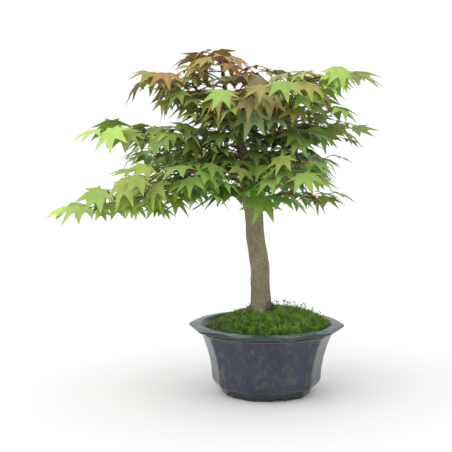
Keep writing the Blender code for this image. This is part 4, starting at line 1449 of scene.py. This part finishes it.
def leaf_pattern(basal):
    """A maple leaf: lobes sewn along their notches, an upper and a lower skin that meet at the margin."""
    lobes = [add_lobe(*MIDDLE_LOBE)]
    for middle, length, near, far, teeth in LOBES + [(134, basal, (109, 8.0), (180, 2.5), 0)]:
        lobes.append(add_lobe(middle, length, near, far, teeth))
        lobes.append(add_lobe(-middle, length, (-far[0], far[1]), (-near[0], near[1]), teeth))
    upper = join(lobes[0], lobes[1:])
    edit(upper)
    merge(SEAM)
    if upper.data.polygons[0].normal.z < 0:
        upper.data.flip_normals()
    take(upper)
    bpy.ops.object.duplicate()
    lower = start_piece("lower_skin")
    work = bmesh.new()
    work.from_mesh(lower.data)
    for vertex in work.verts:
        if not vertex.is_boundary:
            vertex.co.z -= BLADE_THICKNESS
    bmesh.ops.reverse_faces(work, faces=work.faces)
    work.to_mesh(lower.data)
    work.free()
    leaf = join(upper, [lower])
    edit(leaf)
    merge(SEAM, turn_outwards=False)
    pattern = Pattern(leaf)
    half = len(pattern.faces) // 2
    pattern.finish = [0] * half + [1] * half
    return pattern


def leaf_points(pattern, leaf, dice):
    """The pattern bent to one leaf's droop, opened or closed a little, waved, and put in its place."""
    points = pattern.points.copy()
    spread = dice.uniform(0.93, 1.05)
    angle = np.arctan2(points[:, 1], points[:, 0]) * spread
    radius = np.hypot(points[:, 0], points[:, 1])
    share = radius / LEAF_LENGTH
    wave = dice.uniform(0.3, 1.1) * np.sin(angle * dice.choice((3, 4, 5)) + dice.uniform(0, 6.28)) * share
    curl = dice.uniform(0.0, 1.6) * share**4 * 4
    height = points[:, 2] - leaf["droop"] * share**2 - curl + wave
    bent = np.column_stack((radius * np.cos(angle), radius * np.sin(angle), height)) * leaf["size"]
    return moved(bent, leaf["placing"])


def leaf_tint(settings, place, owner, dice):
    """Deeper green inside the crown as painted shade, lime at its ends with a painted glow at the left,
    bronze and flushed red at the top left.
    """
    # Lime for young leaves, and at the left also painted glow where light passes through the leaves.
    left = (-place.x - 95) / 120 + (0.30 if owner == "branch_left_low" else 0.0)
    right = min((place.z - 372) / 30, (place.x + 10) / 50)
    young_and_glow = min(1.0, max(0.0, max(left, 0.9 * right, 0.0) + dice.uniform(-0.3, 0.3)))
    top = min((place.z - 350) / 70, 1.0 - (place.x + 30) / 75) + dice.uniform(-0.45, 0.25)
    top = min(1.0, max(0.0, top))
    # Painted shade: leaves nearer the trunk's middle get the darker green.
    out_of_shade = min(1.0, math.hypot(place.x + 20, place.y) / 120 + dice.uniform(-0.3, 0.3))
    green = mix(settings.shaded_green, settings.mid_green, max(0.0, out_of_shade))
    if place.z < 280 and place.y < -15 and abs(place.x + 20) < 35:
        green = colour("#72ab42")  # fresh leaves low on the trunk's front
    tint = mix(mix(green, settings.lime, young_and_glow), settings.bronze, 0.6 * top)
    shade = dice.uniform(0.72, 1.35)
    odd = dice.random()
    if odd < 0.12:
        tint = mix(tint, colour("#93a37f"), 0.6)  # painted sheen: the pale grey-green of the white sky reflected off a few leaves
    elif odd < 0.26:
        tint = mix(tint, colour("#8f8a3c"), 0.5)  # olive
    flush = 0.6 * top + (0.4 if dice.random() < 0.06 + 0.25 * (place.z > 345) else 0.0)
    return tuple(c * shade for c in tint), min(1.0, flush)


def leaf_stalk(leaf):
    """From the blade's foot over its arch to the stem, a little thicker at both ends."""
    path = smooth_path(leaf["petiole"], 3)
    last = len(path) - 1
    return [(p, 0.50 + 0.22 * abs(2 * i / last - 1) ** 3) for i, p in enumerate(path)]


def make_shoot(shoots, name, replaced, tools):
    """One piece of stems, leaf stalks and blades."""
    settings, patterns, finishes, dice = tools
    stems, stalks = [], []
    copies = {0: [], 1: []}
    for shoot in shoots:
        path = smooth_path(shoot["stem"], 4)
        last = len(path) - 1
        swell = [0.16 if i % 4 == 3 else 0.0 for i in range(len(path))]
        stems.append([(p, 1.05 - 0.45 * i / last + swell[i]) for i, p in enumerate(path)])
        for leaf in shoot["leaves"]:
            kind = 1 if dice.random() < BASAL_SHARE else 0
            tint, flush = leaf_tint(settings, leaf["placing"].translation, shoot["owner"], dice)
            copies[kind].append((leaf_points(patterns[kind], leaf, dice), tint, flush))
            stalks.append(leaf_stalk(leaf))
    skin, underside, stalk, twig = finishes
    pieces = []
    for kind, several in copies.items():
        if several:
            blades = patterns[kind].spread(name, several)
            dress(blades, skin, underside)
            pieces.append(blades)
    green = tubes(name + "_stalks", stalks, 1)
    dress(green, stalk)
    brown = tubes(name + "_stems", stems, 1)
    dress(brown, twig)
    made = join(pieces[0], pieces[1:] + [green, brown])
    made.name = made.data.name = name
    finish_piece(made, replaced, smooth=60)


def make_leaves(settings):
    shoots, taken = plan_shoots()
    sprays = plan_sprays(shoots, taken)
    patterns = [leaf_pattern(basal) for basal in BASAL_LOBES]
    skins = leaf_skin("leaf_upper_skin", 0.0, 0.46), leaf_skin("leaf_lower_skin", 0.38, 0.7)
    tools = (settings, patterns, (*skins, red_stalk(), young_bark()), random.Random(LOOKS_SEED))
    for shoot in shoots:
        name = shoot["name"].replace("shoot", "leafy_shoot")
        make_shoot([shoot], name, [shoot["name"]], tools)
    for owner in SHOOTS:
        grown = [spray for spray in sprays if spray["owner"] == owner]
        if grown:
            make_shoot(grown, "sprays_" + owner.replace("branch_", ""), [], tools)


class BONSAI_OT_leaves(bpy.types.Operator):
    """Shoots with their leaf stalks and leaves"""

    bl_idname = "bonsai.leaves"
    bl_label = "Leaves"

    def execute(self, context):
        make_leaves(context.scene.bonsai_tree)
        return {"FINISHED"}


# --- stage -------------------------------------------------------------------------------------


KEY_SIDE = Vector((-0.55, -0.55, 1.0))  # the key light comes from the upper left, in front
KEY_SOFTNESS = math.radians(60)
CAMERA_TURN = (math.radians(2.12), math.radians(5.74))  # to the left, and down


def make_stage(settings):
    deselect()
    bpy.ops.mesh.primitive_plane_add(size=40)
    floor = start_piece("studio_floor")
    made, _ = new_material("matt_white_floor", Base_Color=(0.92, 0.92, 0.92), Roughness=0.9)
    dress(floor, made)
    world = bpy.data.worlds.new("studio")
    world.use_nodes = True
    light = world.node_tree.nodes["Background"].inputs
    light["Color"].default_value = (1, 1, 1, 1)
    light["Strength"].default_value = settings.sky
    bpy.context.scene.world = world
    bpy.ops.object.light_add(type="SUN")
    sun = start_piece("key_light")
    sun.data.energy = settings.key
    sun.data.angle = KEY_SOFTNESS
    sun.rotation_euler = KEY_SIDE.to_track_quat("Z", "Y").to_euler()
    bpy.context.scene.view_settings.view_transform = "Standard"
    axis = TO_FRAME @ Vector()
    bpy.ops.object.camera_add(location=axis + Vector((0, -settings.distance, settings.height)))
    camera = start_piece("camera")
    camera.data.lens = settings.lens
    camera.data.sensor_width = 36
    yaw, pitch = CAMERA_TURN
    direction = Vector((-math.sin(yaw), math.cos(yaw) * math.cos(pitch), -math.sin(pitch)))
    camera.rotation_euler = direction.to_track_quat("-Z", "Y").to_euler()
    bpy.context.scene.camera = camera


class BONSAI_OT_stage(bpy.types.Operator):
    """Pale floor, soft light and camera"""

    bl_idname = "bonsai.stage"
    bl_label = "Stage"

    def execute(self, context):
        make_stage(context.scene.bonsai_stage)
        return {"FINISHED"}


STEPS = (
    BONSAI_OT_stage,
    BONSAI_OT_pot,
    BONSAI_OT_filling,
    BONSAI_OT_moss,
    BONSAI_OT_trunk,
    BONSAI_OT_branches,
    BONSAI_OT_leaves,
)
GROUPS = {
    "bonsai_pot": BonsaiPot,
    "bonsai_moss": BonsaiMoss,
    "bonsai_tree": BonsaiTree,
    "bonsai_stage": BonsaiStage,
}


class BONSAI_PT_panel(bpy.types.Panel):
    """Lists the pieces and their settings"""

    bl_idname = "BONSAI_PT_panel"
    bl_label = "Maple bonsai"
    bl_space_type = "VIEW_3D"
    bl_region_type = "UI"
    bl_category = "Bonsai"

    def draw(self, context):
        for step in STEPS:
            self.layout.operator(step.bl_idname)
        for name, group in GROUPS.items():
            box = self.layout.box()
            for setting in group.__annotations__:
                box.prop(getattr(context.scene, name), setting)


CLASSES = (*GROUPS.values(), *STEPS, BONSAI_PT_panel)


def register():
    for made in CLASSES:
        bpy.utils.register_class(made)
    for name, group in GROUPS.items():
        setattr(bpy.types.Scene, name, bpy.props.PointerProperty(type=group))


def unregister():
    for name in GROUPS:
        delattr(bpy.types.Scene, name)
    for made in reversed(CLASSES):
        bpy.utils.unregister_class(made)


def main():
    register()
    for step in STEPS:
        group, piece = step.bl_idname.split(".")
        getattr(getattr(bpy.ops, group), piece)()


if __name__ == "__main__":
    main()
